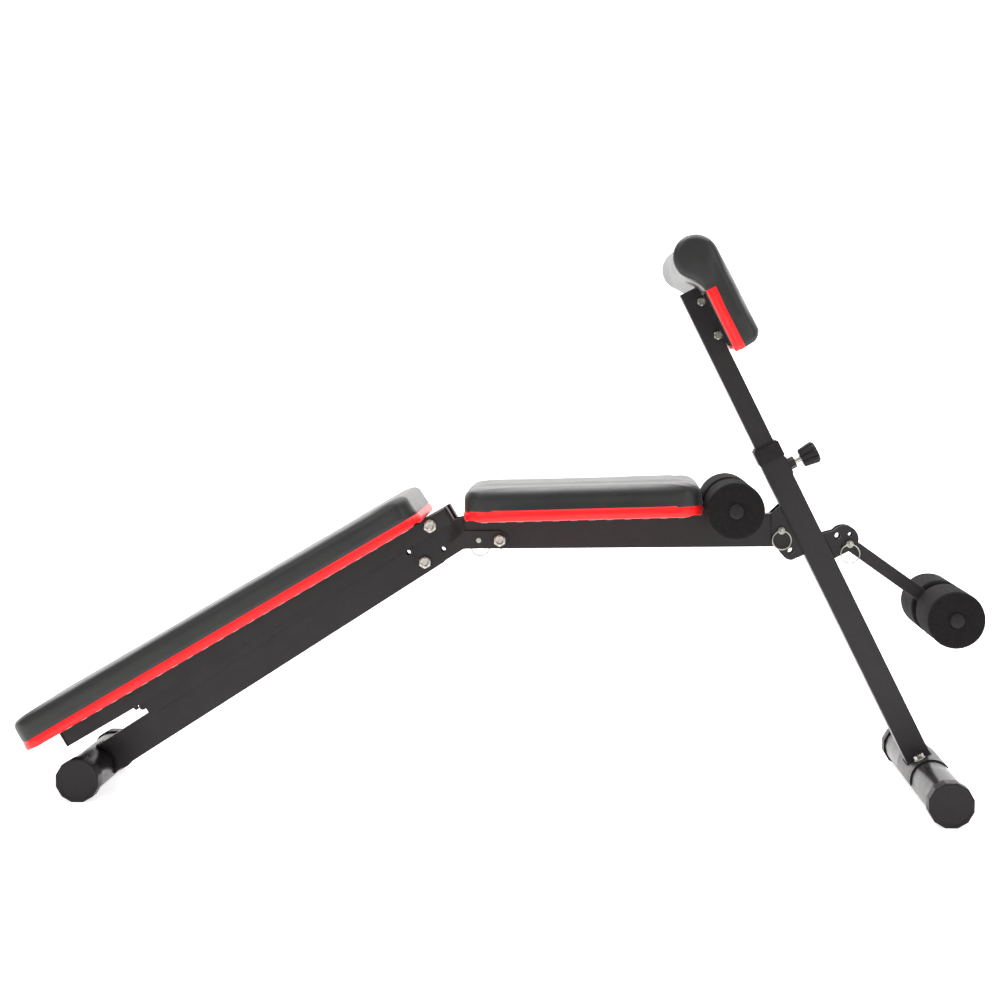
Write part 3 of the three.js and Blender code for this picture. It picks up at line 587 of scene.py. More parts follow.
# ---------------------------------------------------------------- geometry nodes
@dataclass(frozen=True)
class Trail:
    """A Geometry Nodes tree that sets copies of one small piece along paths.

    Args:
        name: the tree's name.
        spacing: distance between copies.
        size: scale of a copy.
        vary: how much the scale varies.
        seed: seed of the variation.
    """

    name: str
    spacing: float
    size: float = 1.0
    vary: float = 0.0
    seed: int = 1

    def tree(self) -> bpy.types.NodeTree:
        """Return the tree: resample the path, turn each copy along it, vary it, realise it."""
        known = bpy.data.node_groups.get(self.name)
        if known:
            return known
        tree = bpy.data.node_groups.new(self.name, "GeometryNodeTree")
        face = tree.interface
        for label, kind in (("Path", "NodeSocketGeometry"), ("Piece", "NodeSocketObject"),
                            ("Spacing", "NodeSocketFloat"), ("Size", "NodeSocketFloat"),
                            ("Vary", "NodeSocketFloat"), ("Seed", "NodeSocketInt"),
                            ("Finish", "NodeSocketMaterial")):
            face.new_socket(label, in_out="INPUT", socket_type=kind)
        face.new_socket("Geometry", in_out="OUTPUT", socket_type="NodeSocketGeometry")
        given = add_node(tree, "NodeGroupInput").outputs
        path = add_node(tree, "GeometryNodeResampleCurve", {
            "Curve": given["Path"], "Length": given["Spacing"]}, mode="LENGTH")
        along = add_node(tree, "GeometryNodeInputTangent").outputs[0]
        turn = add_node(tree, "FunctionNodeAlignRotationToVector", {"Vector": along}, axis="X")
        piece = add_node(tree, "GeometryNodeObjectInfo", {"Object": given["Piece"]})
        low = add_node(tree, "ShaderNodeMath", {0: given["Size"], 1: given["Vary"]}, operation="SUBTRACT")
        high = add_node(tree, "ShaderNodeMath", {0: given["Size"], 1: given["Vary"]}, operation="ADD")
        grow = add_node(tree, "FunctionNodeRandomValue", {
            2: low.outputs[0], 3: high.outputs[0], "Seed": given["Seed"]}, data_type="FLOAT")
        copies = add_node(tree, "GeometryNodeInstanceOnPoints", {
            "Points": path.outputs[0], "Instance": piece.outputs["Geometry"],
            "Rotation": turn.outputs[0], "Scale": grow.outputs[1]})
        real = add_node(tree, "GeometryNodeRealizeInstances", {"Geometry": copies.outputs[0]})
        dressed = add_node(tree, "GeometryNodeSetMaterial", {
            "Geometry": real.outputs[0], "Material": given["Finish"]})
        add_node(tree, "NodeGroupOutput", {0: dressed.outputs[0]})
        return tree

    def lay(self, name: str, paths: Sequence[Sequence[Vector]], piece: bpy.types.Object,
            skin: Skin) -> bpy.types.Object:
        """Lay copies of a piece along paths.

        Args:
            name: the result's name.
            paths: each path's corners.
            piece: the piece to copy.
            skin: the finish of the result.

        Returns:
            One plain mesh with every copy.
        """
        line = bpy.data.curves.new(name + "_path", "CURVE")
        line.dimensions = "3D"
        for corners in paths:
            spline = line.splines.new("POLY")
            spline.points.add(len(corners) - 1)
            for point, corner in zip(spline.points, corners):
                point.co = (*corner, 1.0)
        guide = bpy.data.objects.new(name + "_path", line)
        bpy.context.scene.collection.objects.link(guide)
        laid = guide.modifiers.new("trail", "NODES")
        laid.node_group = self.tree()
        values = {"Piece": piece, "Spacing": self.spacing, "Size": self.size, "Vary": self.vary,
                  "Seed": self.seed, "Finish": skin.value.material()}
        for item in self.tree().interface.items_tree:
            if item.name in values:
                laid[item.identifier] = values[item.name]
        graph = bpy.context.evaluated_depsgraph_get()
        graph.update()
        mesh = bpy.data.meshes.new_from_object(guide.evaluated_get(graph), depsgraph=graph)
        bpy.data.objects.remove(guide)
        made = bpy.data.objects.new(name, mesh)
        bpy.context.scene.collection.objects.link(made)
        return made


def drop(bm: bmesh.types.BMesh, name: str) -> bpy.types.Object:
    """Make a hidden model piece that a trail copies."""
    model = make_object(name, bm, Skin.POWDER)
    bpy.context.scene.collection.objects.unlink(model)
    return model


WELD = Trail("weld_bead", spacing=1.5 * MM, size=1.0, vary=0.12, seed=7)
STAPLES = Trail("staple_row", spacing=26 * MM, seed=3)


def weld_drop() -> bpy.types.Object:
    """Return one frozen ripple of a weld: a flattened bead."""
    bm = bmesh.new()
    bmesh.ops.create_icosphere(bm, subdivisions=1, radius=1.0,
                               matrix=Matrix.Diagonal((1.3 * MM, 2.1 * MM, 1.9 * MM, 1.0)))
    return drop(bm, "weld_drop")


def staple() -> bpy.types.Object:
    """Return the crown of a staple, 10 mm wide, lying across its row."""
    bm = bmesh.new()
    bmesh.ops.create_cube(bm, size=1.0, matrix=Matrix.Diagonal((10 * MM, 1.1 * MM, 0.7 * MM, 1.0)))
    bmesh.ops.bevel(bm, geom=bm.edges, offset=0.2 * MM, segments=2, affect="EDGES")
    return drop(bm, "staple")


# ---------------------------------------------------------------- steel frame
@dataclass
class SteelFrame:
    """The welded parts of the frame, with rolled tube corners and weld beads.

    Args:
        tubes: corner radius of the square tubes.
        bead: distance of a bead's middle from the corner it fills.
    """

    tubes: Softening = Softening()
    plates: Softening = Softening(corner=0.8 * MM, fine=0.5 * MM)
    bead: float = 0.4 * MM

    def build(self) -> None:
        """Make every steel part and its welds."""
        for node, body, soft in (
            ("seat_frame", "seat", self.tubes), ("rear_frame", "rear_leg", self.tubes),
            ("centre_plate_near", "rear_leg", self.plates), ("centre_plate_far", "rear_leg", self.plates),
            ("backrest_frame", "backrest", self.tubes), ("strut", "strut", self.plates),
            ("front_frame", "front_post", self.tubes), ("inner_post", "arm_post", self.tubes),
            ("leg_bar", "leg_bar", self.tubes),
        ):
            settle(soft.copy(node, f"{node}_steel", Skin.POWDER), body, Skin.POWDER, node)
        model = weld_drop()
        for body, paths in (("seat", self.seat_welds()), ("rear_leg", self.rear_welds()),
                            ("backrest", self.back_welds()), ("front_post", self.post_welds()),
                            ("leg_bar", self.bar_welds())):
            settle(WELD.lay(f"{body}_welds", paths, model, Skin.POWDER), body, Skin.POWDER)
        bpy.data.objects.remove(model)

    def seat_welds(self) -> list[list[Vector]]:
        """Return the beads between the beam, the pad straps and the roller sleeve."""
        half, top = 15 * MM, 37.1 * MM + self.bead
        paths = []
        for x in (5 * MM, 35 * MM, 235 * MM, 265 * MM):
            paths.append([SEAT.at(x, -half, top), SEAT.at(x, half, top)])
        roller = SEAT.matrix().inverted() @ pivot("seat_roller_near_spin")
        for x in (roller.x - 8 * MM, roller.x + 8 * MM):
            paths.append([SEAT.at(x, -half, top), SEAT.at(x, half, top)])
        return paths

    def rear_welds(self) -> list[list[Vector]]:
        """Return the beads round the foot saddle and along the strut lugs."""
        saddle, half, wide = 32.6 * MM, 25 * MM, 15 * MM
        paths = []
        for y in (-wide, wide):
            paths.append([REAR.at(math.sqrt(saddle ** 2 - n ** 2) + self.bead, y, n)
                          for n in [half * (k / 8 - 1) for k in range(17)]])
        hinge = REAR.matrix().inverted() @ pivot("strut_swing")
        for y in (-14 * MM, 14 * MM):
            paths.append([REAR.at(hinge.x + x, y, 25.2 * MM) for x in (-13 * MM, 13 * MM)])
        return paths

    def back_welds(self) -> list[list[Vector]]:
        """Return the beads between the rails, their straps and the notched racks."""
        paths = []
        for side in (-1, 1):
            for x in (-610, -590, -290, -270, -70, -50):
                ends = (side * 22 * MM, side * 43 * MM)
                paths.append([BACK.at(x * MM, y, 12.3 * MM) for y in ends])
        return paths

    def post_welds(self) -> list[list[Vector]]:
        """Return the beads round the post's saddle and along its cheeks and boss."""
        saddle, half = 32.6 * MM, 19 * MM
        paths = []
        for y in (-half, half):
            paths.append([POST.at(math.sqrt(saddle ** 2 - n ** 2) + self.bead, y, n)
                          for n in [half * (k / 6 - 1) for k in range(13)]])
        for n in (-half, half):
            s = math.sqrt(saddle ** 2 - half ** 2) + self.bead
            paths.append([POST.at(s, -half, n), POST.at(s, half, n)])
        for y in (-18.5 * MM, 18.5 * MM):
            paths.append([POST.at(388 * MM, y, half), POST.at(468 * MM, y, half)])
        for y in (-13.8 * MM, 13.8 * MM):
            paths.append([POST.at(362 * MM, y, -half), POST.at(401 * MM, y, -half)])
        return paths

    def bar_welds(self) -> list[list[Vector]]:
        """Return the beads where the roller sleeve meets the leg bar."""
        paths = []
        for y in (-10 * MM, 10 * MM):
            paths.append([BAR.at(162.6 * MM, y, n * MM) for n in (-8, -4, 0, 4, 8)])
        return paths


# ---------------------------------------------------------------- padding
@dataclass
class Pad:
    """A foam pad under vinyl: black over the top and a red band round the lower edge.

    Args:
        name: prefix of the pad's CAD nodes.
        body: the CAD body that it moves with.
        axes: the pad's own axes, n towards the user.
        corner: rounding of the plan's corners.
        edge: rounding of the top edge.
        slack: how much smaller the pad starts before it is filled.
        puff: the most that its skin may swell.
        voxel: size of the remesh before the filling.
        rim: width of the vinyl's stapled rim under the pad.
        sag: how far the pad's sides hang below its base.
        sunk: how far the board lies inside the rim.
        seam_depth: how far the seam draws the skin in.
        seam_reach: how far from the seam the skin is drawn in.
    """

    name: str
    body: str
    axes: Axes
    corner: float = 30 * MM
    edge: float = 11 * MM
    slack: float = 1.4 * MM
    puff: float = 2.0 * MM
    voxel: float = 5 * MM
    rim: float = 7 * MM
    sag: float = 0.0
    sunk: float = 3 * MM
    seam_depth: float = 1.3 * MM
    seam_reach: float = 5 * MM

    def build(self) -> None:
        """Shape, fill, seam and split the pad, and make its board and staples."""
        low, high = self.limits()
        seam = self.seam()
        piece = self.filled(self.shape(low, high), low.z)
        bm = bmesh.new()
        bm.from_mesh(piece.data)
        bpy.data.objects.remove(piece)
        self.fit(bm, low, high)
        self.cut_seam(bm, seam)
        self.draw_in(bm, seam)
        self.recess(bm, low, high)
        self.bend(bm)
        red = bm.copy()
        self.keep(red, lambda spot: self.is_red(spot, seam))
        self.keep(bm, lambda spot: not self.is_red(spot, seam))
        for part, word, skin in ((bm, "cushion", Skin.BLACK), (red, "band", Skin.RED)):
            bmesh.ops.holes_fill(part, edges=[e for e in part.edges if e.is_boundary], sides=0)
            bmesh.ops.triangulate(part, faces=[f for f in part.faces if len(f.verts) > 4])
            bmesh.ops.recalc_face_normals(part, faces=part.faces)
            part.transform(self.axes.matrix())
            made = make_object(f"{self.name}_{word}_vinyl", part, skin, math.radians(60))
            settle(made, self.body, skin, f"{self.name}_{word}")
        self.staple_down(low, high)
        soft = Softening(1 * MM, 0.4 * MM)
        board = soft.copy(f"{self.name}_board", f"{self.name}_board_cloth", Skin.CLOTH)
        settle(board, self.body, Skin.CLOTH, f"{self.name}_board")

    def limits(self) -> tuple[Vector, Vector]:
        """Return the pad's lowest and highest corner in its own axes."""
        return self.axes.extent(f"{self.name}_cushion", f"{self.name}_band")

    def seam(self) -> float:
        """Return the height of the seam between the band and the cushion."""
        return self.axes.extent(f"{self.name}_band")[1].z

    def seam_distance(self, spot: Vector, seam: float) -> float:
        """Return how far a point is from the seam."""
        return abs(spot.z - seam)

    def hang(self, y: float) -> float:
        """Return how far the skin hangs at a distance from the middle of the pad."""
        side = min(1.0, max(0.0, abs(y) - FRAME_CLEAR) / FRAME_CLEAR)
        return self.sag * side * side * (3 - 2 * side)

    def bend(self, bm: bmesh.types.BMesh) -> None:
        """Let the pad's sides hang a little, clear of the frame under its middle."""
        for vert in bm.verts:
            vert.co.z -= self.hang(vert.co.y)

    def staple_down(self, low: Vector, high: Vector) -> None:
        """Staple the vinyl's rim to the board along the pad's long sides."""
        model = staple()
        inset, sink = self.rim * 0.8, 0.3 * MM
        paths = []
        for y in (low.y + inset, high.y - inset):
            ends = (low.x + self.corner, high.x - self.corner)
            paths.append([self.axes.at(x, y, low.z - self.hang(y) + sink) for x in ends])
        made = STAPLES.lay(f"{self.name}_staples", paths, model, Skin.ZINC)
        settle(made, self.body, Skin.ZINC)
        bpy.data.objects.remove(model)

    def is_red(self, spot: Vector, seam: float) -> bool:
        """Tell whether a face belongs to the red band."""
        return spot.z < seam

    def outline(self, low: Vector, high: Vector, inset: float, steps: int = 8) -> list[Point]:
        """Return the pad's plan, inset all round."""
        r = max(self.corner - inset, 4 * MM)
        x0, x1 = low.x + inset + r, high.x - inset - r
        y0, y1 = low.y + inset + r, high.y - inset - r
        points = []
        for cx, cy, start in ((x1, y1, 0), (x0, y1, 90), (x0, y0, 180), (x1, y0, 270)):
            for k in range(steps + 1):
                a = math.radians(start + 90 * k / steps)
                points.append((cx + r * math.cos(a), cy + r * math.sin(a)))
        return points

    def shape(self, low: Vector, high: Vector) -> bmesh.types.BMesh:
        """Return the pad before it is filled: straight sides and a rounded top edge."""
        top = high.z - self.slack
        rows = [(low.z, self.slack + 2.5 * MM), (low.z + 2.5 * MM, self.slack)]
        for k in range(7):
            a = math.radians(90 * k / 6)
            rows.append((top - self.edge * (1 - math.sin(a)), self.slack + self.edge * (1 - math.cos(a))))
        bm = bmesh.new()
        rings = [[bm.verts.new((x, y, z)) for x, y in self.outline(low, high, inset)] for z, inset in rows]
        self.close(bm, rings)
        return bm

    def close(self, bm: bmesh.types.BMesh, rings: list) -> None:
        """Skin a stack of rings and close both its ends."""
        for one, two in zip(rings, rings[1:]):
            for i, vert in enumerate(one):
                after = (i + 1) % len(one)
                bm.faces.new((vert, one[after], two[after], two[i]))
        bm.faces.new(list(reversed(rings[0])))
        bm.faces.new(rings[-1])
        bmesh.ops.recalc_face_normals(bm, faces=bm.faces)

    def filled(self, bm: bmesh.types.BMesh, floor: float) -> bpy.types.Object:
        """Fill the pad with foam: a short cloth simulation under pressure, held at its base.

        Args:
            bm: the pad's starting shape, freed here.
            floor: height of the base, whose skin is stapled down.

        Returns:
            The filled pad in its own axes.
        """
        piece = make_object(f"{self.name}_filling", bm, Skin.BLACK)
        remesh = piece.modifiers.new("voxels", "REMESH")
        remesh.mode = "VOXEL"
        remesh.voxel_size = self.voxel
        bake(piece)
        self.simulate(piece, floor)
        smooth = piece.modifiers.new("finer", "SUBSURF")
        smooth.levels = smooth.render_levels = 1
        return bake(piece)

    def simulate(self, piece: bpy.types.Object, floor: float) -> None:
        """Run the cloth under pressure and cap how far each point moves."""
        rest = [v.co.copy() for v in piece.data.vertices]
        held = piece.vertex_groups.new(name="stapled")
        stapled = [v.index for v in piece.data.vertices
                   if v.co.z < floor + 4 * MM and self.is_red(v.co, self.seam())]
        held.add(stapled, 1.0, "REPLACE")
        cloth = piece.modifiers.new("cloth", "CLOTH")
        cloth.settings.vertex_group_mass = held.name
        cloth.settings.quality = 5
        cloth.settings.mass = 0.25
        cloth.settings.tension_stiffness = 30
        cloth.settings.compression_stiffness = 30
        cloth.settings.bending_stiffness = 2
        cloth.settings.use_pressure = True
        cloth.settings.uniform_pressure_force = 4
        cloth.settings.effector_weights.gravity = 0
        cloth.point_cache.frame_start = 1
        cloth.point_cache.frame_end = 20
        for step in range(1, 21):
            bpy.context.scene.frame_set(step)
        bake(piece)
        bpy.context.scene.frame_set(1)
        for vert, start in zip(piece.data.vertices, rest):
            move = vert.co - start
            if move.length > self.puff:
                vert.co = start + move.normalized() * self.puff
        self.even(piece)

    def even(self, piece: bpy.types.Object) -> None:
        """Smooth out the steps that the cap leaves."""
        smooth = piece.modifiers.new("even", "SMOOTH")
        smooth.factor = 0.5
        smooth.iterations = 2
        bake(piece)

    def fit(self, bm: bmesh.types.BMesh, low: Vector, high: Vector) -> None:
        """Stretch the filled pad to its true size."""
        now_low = Vector([min(v.co[k] for v in bm.verts) for k in range(3)])
        now_high = Vector([max(v.co[k] for v in bm.verts) for k in range(3)])
        for vert in bm.verts:
            share = [(vert.co[k] - now_low[k]) / (now_high[k] - now_low[k]) for k in range(3)]
            vert.co = Vector([low[k] + share[k] * (high[k] - low[k]) for k in range(3)])

    def cut_seam(self, bm: bmesh.types.BMesh, seam: float) -> None:
        """Cut a loop of edges round the pad at the seam."""
        bmesh.ops.bisect_plane(bm, geom=[*bm.verts, *bm.edges, *bm.faces], dist=0.01 * MM,
                               plane_co=(0, 0, seam), plane_no=(0, 0, 1))

    def draw_in(self, bm: bmesh.types.BMesh, seam: float) -> None:
        """Pull the skin in along the seam and add the slow waves of hand-pulled vinyl."""
        bm.normal_update()
        for vert in bm.verts:
            near = 1 - self.seam_distance(vert.co, seam) / self.seam_reach
            wave = noise.noise(vert.co * 22) * 0.5 * MM
            side = Vector((vert.normal.x, vert.normal.y, 0))
            if near > 0:
                vert.co -= side * self.seam_depth * near ** 2
            vert.co += vert.normal * wave * max(0.0, vert.normal.z)

    def recess(self, bm: bmesh.types.BMesh, low: Vector, high: Vector) -> None:
        """Lift the middle of the base so that the stapled rim stands proud of the board."""
        rim, lift = self.rim, self.sunk + 0.6 * MM
        for vert in bm.verts:
            inside = min(vert.co.x - low.x, high.x - vert.co.x, vert.co.y - low.y, high.y - vert.co.y)
            base = vert.co.z < low.z + 2.5 * MM and self.is_red(vert.co, self.seam())
            if base and inside > rim:
                vert.co.z += lift * min(1.0, (inside - rim) / (4 * MM))

    def keep(self, bm: bmesh.types.BMesh, wanted: Callable[[Vector], bool]) -> None:
        """Delete the faces whose middle isn't wanted."""
        gone = [f for f in bm.faces if not wanted(f.calc_center_median())]
        bmesh.ops.delete(bm, geom=gone, context="FACES")


@dataclass
class ArmPad(Pad):
    """The arm pad: a cushion that runs into a round roll over the top of the post.

    In its axes x runs down the post and z forwards, so -x is the height on the post.
    """

    half: float = 212 * MM
    back: float = 16 * MM
    front: float = 61.5 * MM
    bottom: float = 712 * MM
    band: float = 9 * MM
    band_top: float = 809.5 * MM
    roll_height: float = 857 * MM
    roll_forward: float = 25.5 * MM
    roll_radius: float = 34.5 * MM
    end_edge: float = 8 * MM
    bow: float = 10 * MM

    def limits(self) -> tuple[Vector, Vector]:
        """Return the straight pad's lowest and highest corner."""
        return (Vector((-self.roll_height - self.roll_radius, -self.half, self.back)),
                Vector((-self.bottom, self.half, self.front)))

    def fit(self, bm: bmesh.types.BMesh, low: Vector, high: Vector) -> None:
        """Stretch the filled pad to its true size; its roll reaches behind the straight back."""
        super().fit(bm, Vector((low.x, low.y, self.roll_forward - self.roll_radius)), high)

    def seam(self) -> float:
        """Return how far forward the seam lies."""
        return self.back + self.band

    def is_red(self, spot: Vector, seam: float) -> bool:
        """Tell whether a face belongs to the red band."""
        return spot.z < seam and -spot.x < self.band_top

    def seam_distance(self, spot: Vector, seam: float) -> float:
        """Return how far a point is from the seam, which ends below the roll."""
        return abs(spot.z - seam) + max(0.0, -spot.x - self.band_top)

    def cut_seam(self, bm: bmesh.types.BMesh, seam: float) -> None:
        """Cut edges along the seam and where the band ends under the roll."""
        super().cut_seam(bm, seam)
        bmesh.ops.bisect_plane(bm, geom=[*bm.verts, *bm.edges, *bm.faces], dist=0.01 * MM,
                               plane_co=(-self.band_top, 0, 0), plane_no=(1, 0, 0))

    def bend(self, bm: bmesh.types.BMesh) -> None:
        """Bow both ends of the pad back."""
        for vert in bm.verts:
            vert.co.z -= self.bow * (vert.co.y / self.half) ** 2

    def staple_down(self, low: Vector, high: Vector) -> None:
        """Staple nothing: this pad's skin is glued to its board."""

    def section(self, inset: float) -> list[Point]:
        """Return the pad's side outline as (x, z) points, inset all round."""
        corner = 13 * MM
        low, front, back = self.bottom + inset, self.front - inset, self.back + inset
        points = [(-low, back)]
        for k in range(7):
            a = math.radians(90 * k / 6)
            points.append((-(low + corner * (1 - math.cos(a))) , front - corner * (1 - math.sin(a))))
        roll = self.roll_radius - inset
        for k in range(33):
            a = math.radians(-4 + 250 * k / 32)
            points.append((-(self.roll_height + roll * math.sin(a)), self.roll_forward + roll * math.cos(a)))
        points.append((-(self.band_top + 1.5 * MM), back))
        return points

    def shape(self, low: Vector, high: Vector) -> bmesh.types.BMesh:
        """Return the straight pad before it is filled, with rounded rims at both ends."""
        edge = self.end_edge
        rims = [math.radians(90 * k / 5) for k in range(6)]
        ends = [(self.half - self.slack - edge * (1 - math.cos(a)), edge * (1 - math.sin(a))) for a in rims]
        places = [(-y, inset) for y, inset in ends]
        places += [(y * self.half / 6, 0.0) for y in range(-5, 6)]
        places += list(reversed(ends))
        bm = bmesh.new()
        rings = [[bm.verts.new((x, y, z)) for x, z in self.section(inset + self.slack)]
                 for y, inset in places]
        self.close(bm, rings)
        return bm


# ---------------------------------------------------------------- rollers and feet
@dataclass
class Rollers:
    """A pair of foam rollers on a shaft with domed end plugs.

    Args:
        prefix: prefix of the CAD nodes: seat or leg.
        shaft_body: the body that holds the shaft.
        edge: rounding of the foam's ends.
        bore: radius of the hole for the shaft.
        lumps: height of the foam's unevenness.
    """

    prefix: str
    shaft_body: str
    edge: float = 7 * MM
    bore: float = 10.2 * MM
    lumps: float = 0.35 * MM

    def build(self) -> None:
        """Make both rollers, their plugs and the shaft's finish."""
        for word, side in SIDES:
            self.foam(word)
            self.plug(word, side)
        shaft = frame["nodes"][f"{self.prefix}_roller_shaft"]
        shaft.data.materials[0] = Skin.ZINC.value.material()

    def foam(self, word: str) -> None:
        """Make one roller: bored foam with soft ends and a slightly uneven skin."""
        node = f"{self.prefix}_roller_foam_{word}"
        low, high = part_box(node)
        spot = middle(node)
        r = (high[0] - low[0]) / 2
        span = (high[1] - low[1]) / 2
        rows = [(self.bore, -span, 0), (self.bore + 3 * MM, -span, 1.5 * MM), (r, -span, self.edge)]
        rows += [(r, span * k / 6, 0.001 * MM) for k in range(-5, 6)]
        rows += [(r, span, self.edge), (self.bore + 3 * MM, span, 1.5 * MM), (self.bore, span, 0)]
        bm = turned(eased(rows), Matrix.Translation(spot), 96, closed=True)
        bmesh.ops.remove_doubles(bm, verts=bm.verts, dist=0.05 * MM)
        bm.normal_update()
        for vert in bm.verts:
            if math.hypot(vert.co.x - spot.x, vert.co.z - spot.z) > self.bore * 1.2:
                vert.co += vert.normal * noise.noise(vert.co * 45) * self.lumps
        made = make_object(f"{node}_skin", bm, Skin.FOAM)
        settle(made, f"{self.prefix}_roller_{word}", Skin.FOAM, node)

    def plug(self, word: str, side: int) -> None:
        """Make the domed plug in the shaft's end."""
        node = f"{self.prefix}_roller_shaft_plug_{word}"
        low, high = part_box(node)
        outer = (high if side > 0 else low)[1]
        r = (high[0] - low[0]) / 2
        profile = eased([(0, 1.2 * MM, 0), (r * 0.7, 0.9 * MM, 1 * MM), (r, -0.4 * MM, 0.8 * MM),
                         (r, -2.2 * MM, 0.3 * MM), (r * 0.68, -2.2 * MM, 0), (r * 0.66, -16 * MM, 0),
                         (0, -16 * MM, 0)])
        spot = middle(node)
        flip = Matrix.Scale(side, 4, (0, 1, 0))
        bm = turned(profile, Matrix.Translation((spot.x, outer, spot.z)) @ flip, 40)
        bmesh.ops.recalc_face_normals(bm, faces=bm.faces)
        settle(make_object(f"{node}_dome", bm, Skin.PLASTIC), self.shaft_body, Skin.PLASTIC, node)


@dataclass
class Foot:
    """A foot: a gloss round tube with a twelve-sided cap at each end.

    Args:
        prefix: prefix of the CAD nodes: rear or front.
        body: the CAD body that it belongs to.
        wall: thickness of the tube's wall.
        edge: rounding of the cap's outer rim.
    """

    prefix: str
    body: str
    wall: float = 2 * MM
    edge: float = 2.2 * MM

    def build(self) -> None:
        """Make the tube and both caps."""
        node = f"{self.prefix}_foot_tube"
        low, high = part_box(node)
        r, end = (high[0] - low[0]) / 2, high[1]
        inner = r - self.wall
        profile = [(inner, -end), (r, -end), (r, end), (inner, end)]
        tube = turned(profile, Matrix.Translation(middle(node)), 96, closed=True)
        settle(make_object(f"{node}_enamel", tube, Skin.GLOSS), self.body, Skin.GLOSS, node)
        for word, side in SIDES:
            self.cap(word, side)

    def cap(self, word: str, side: int) -> None:
        """Make one cap: twelve flats, a rounded rim, a shallow dish in its face and a lip inside."""
        node = f"{self.prefix}_foot_cap_{word}"
        low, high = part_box(node)
        flat = (high[2] - low[2]) / 2
        length = high[1] - low[1]
        round_to = polygon_radius(12)
        top = length / 2
        sunk, bore = top - 0.8 * MM, 30.4 * MM
        profile = eased([(0, sunk, 0), (flat * 0.86, sunk, 1 * MM), (flat * 0.9, top, 0.6 * MM),
                         (flat, top, self.edge), (flat, -top, 0.8 * MM), (bore, -top, 0.4 * MM),
                         (bore, -top + 6 * MM, 0), (0, -top + 6 * MM, 0)])
        spot = middle(node)
        where = Matrix.Translation(spot) @ Matrix.Scale(side, 4, (0, 1, 0))

        def twelve(angle: float, r: float, y: float) -> float:
            return round_to(angle, r) if r > 31 * MM else r

        bm = turned(profile, where, 96, shape=twelve)
        bmesh.ops.recalc_face_normals(bm, faces=bm.faces)
        made = make_object(f"{node}_moulded", bm, Skin.PLASTIC, math.radians(20))
        settle(made, self.body, Skin.PLASTIC, node)


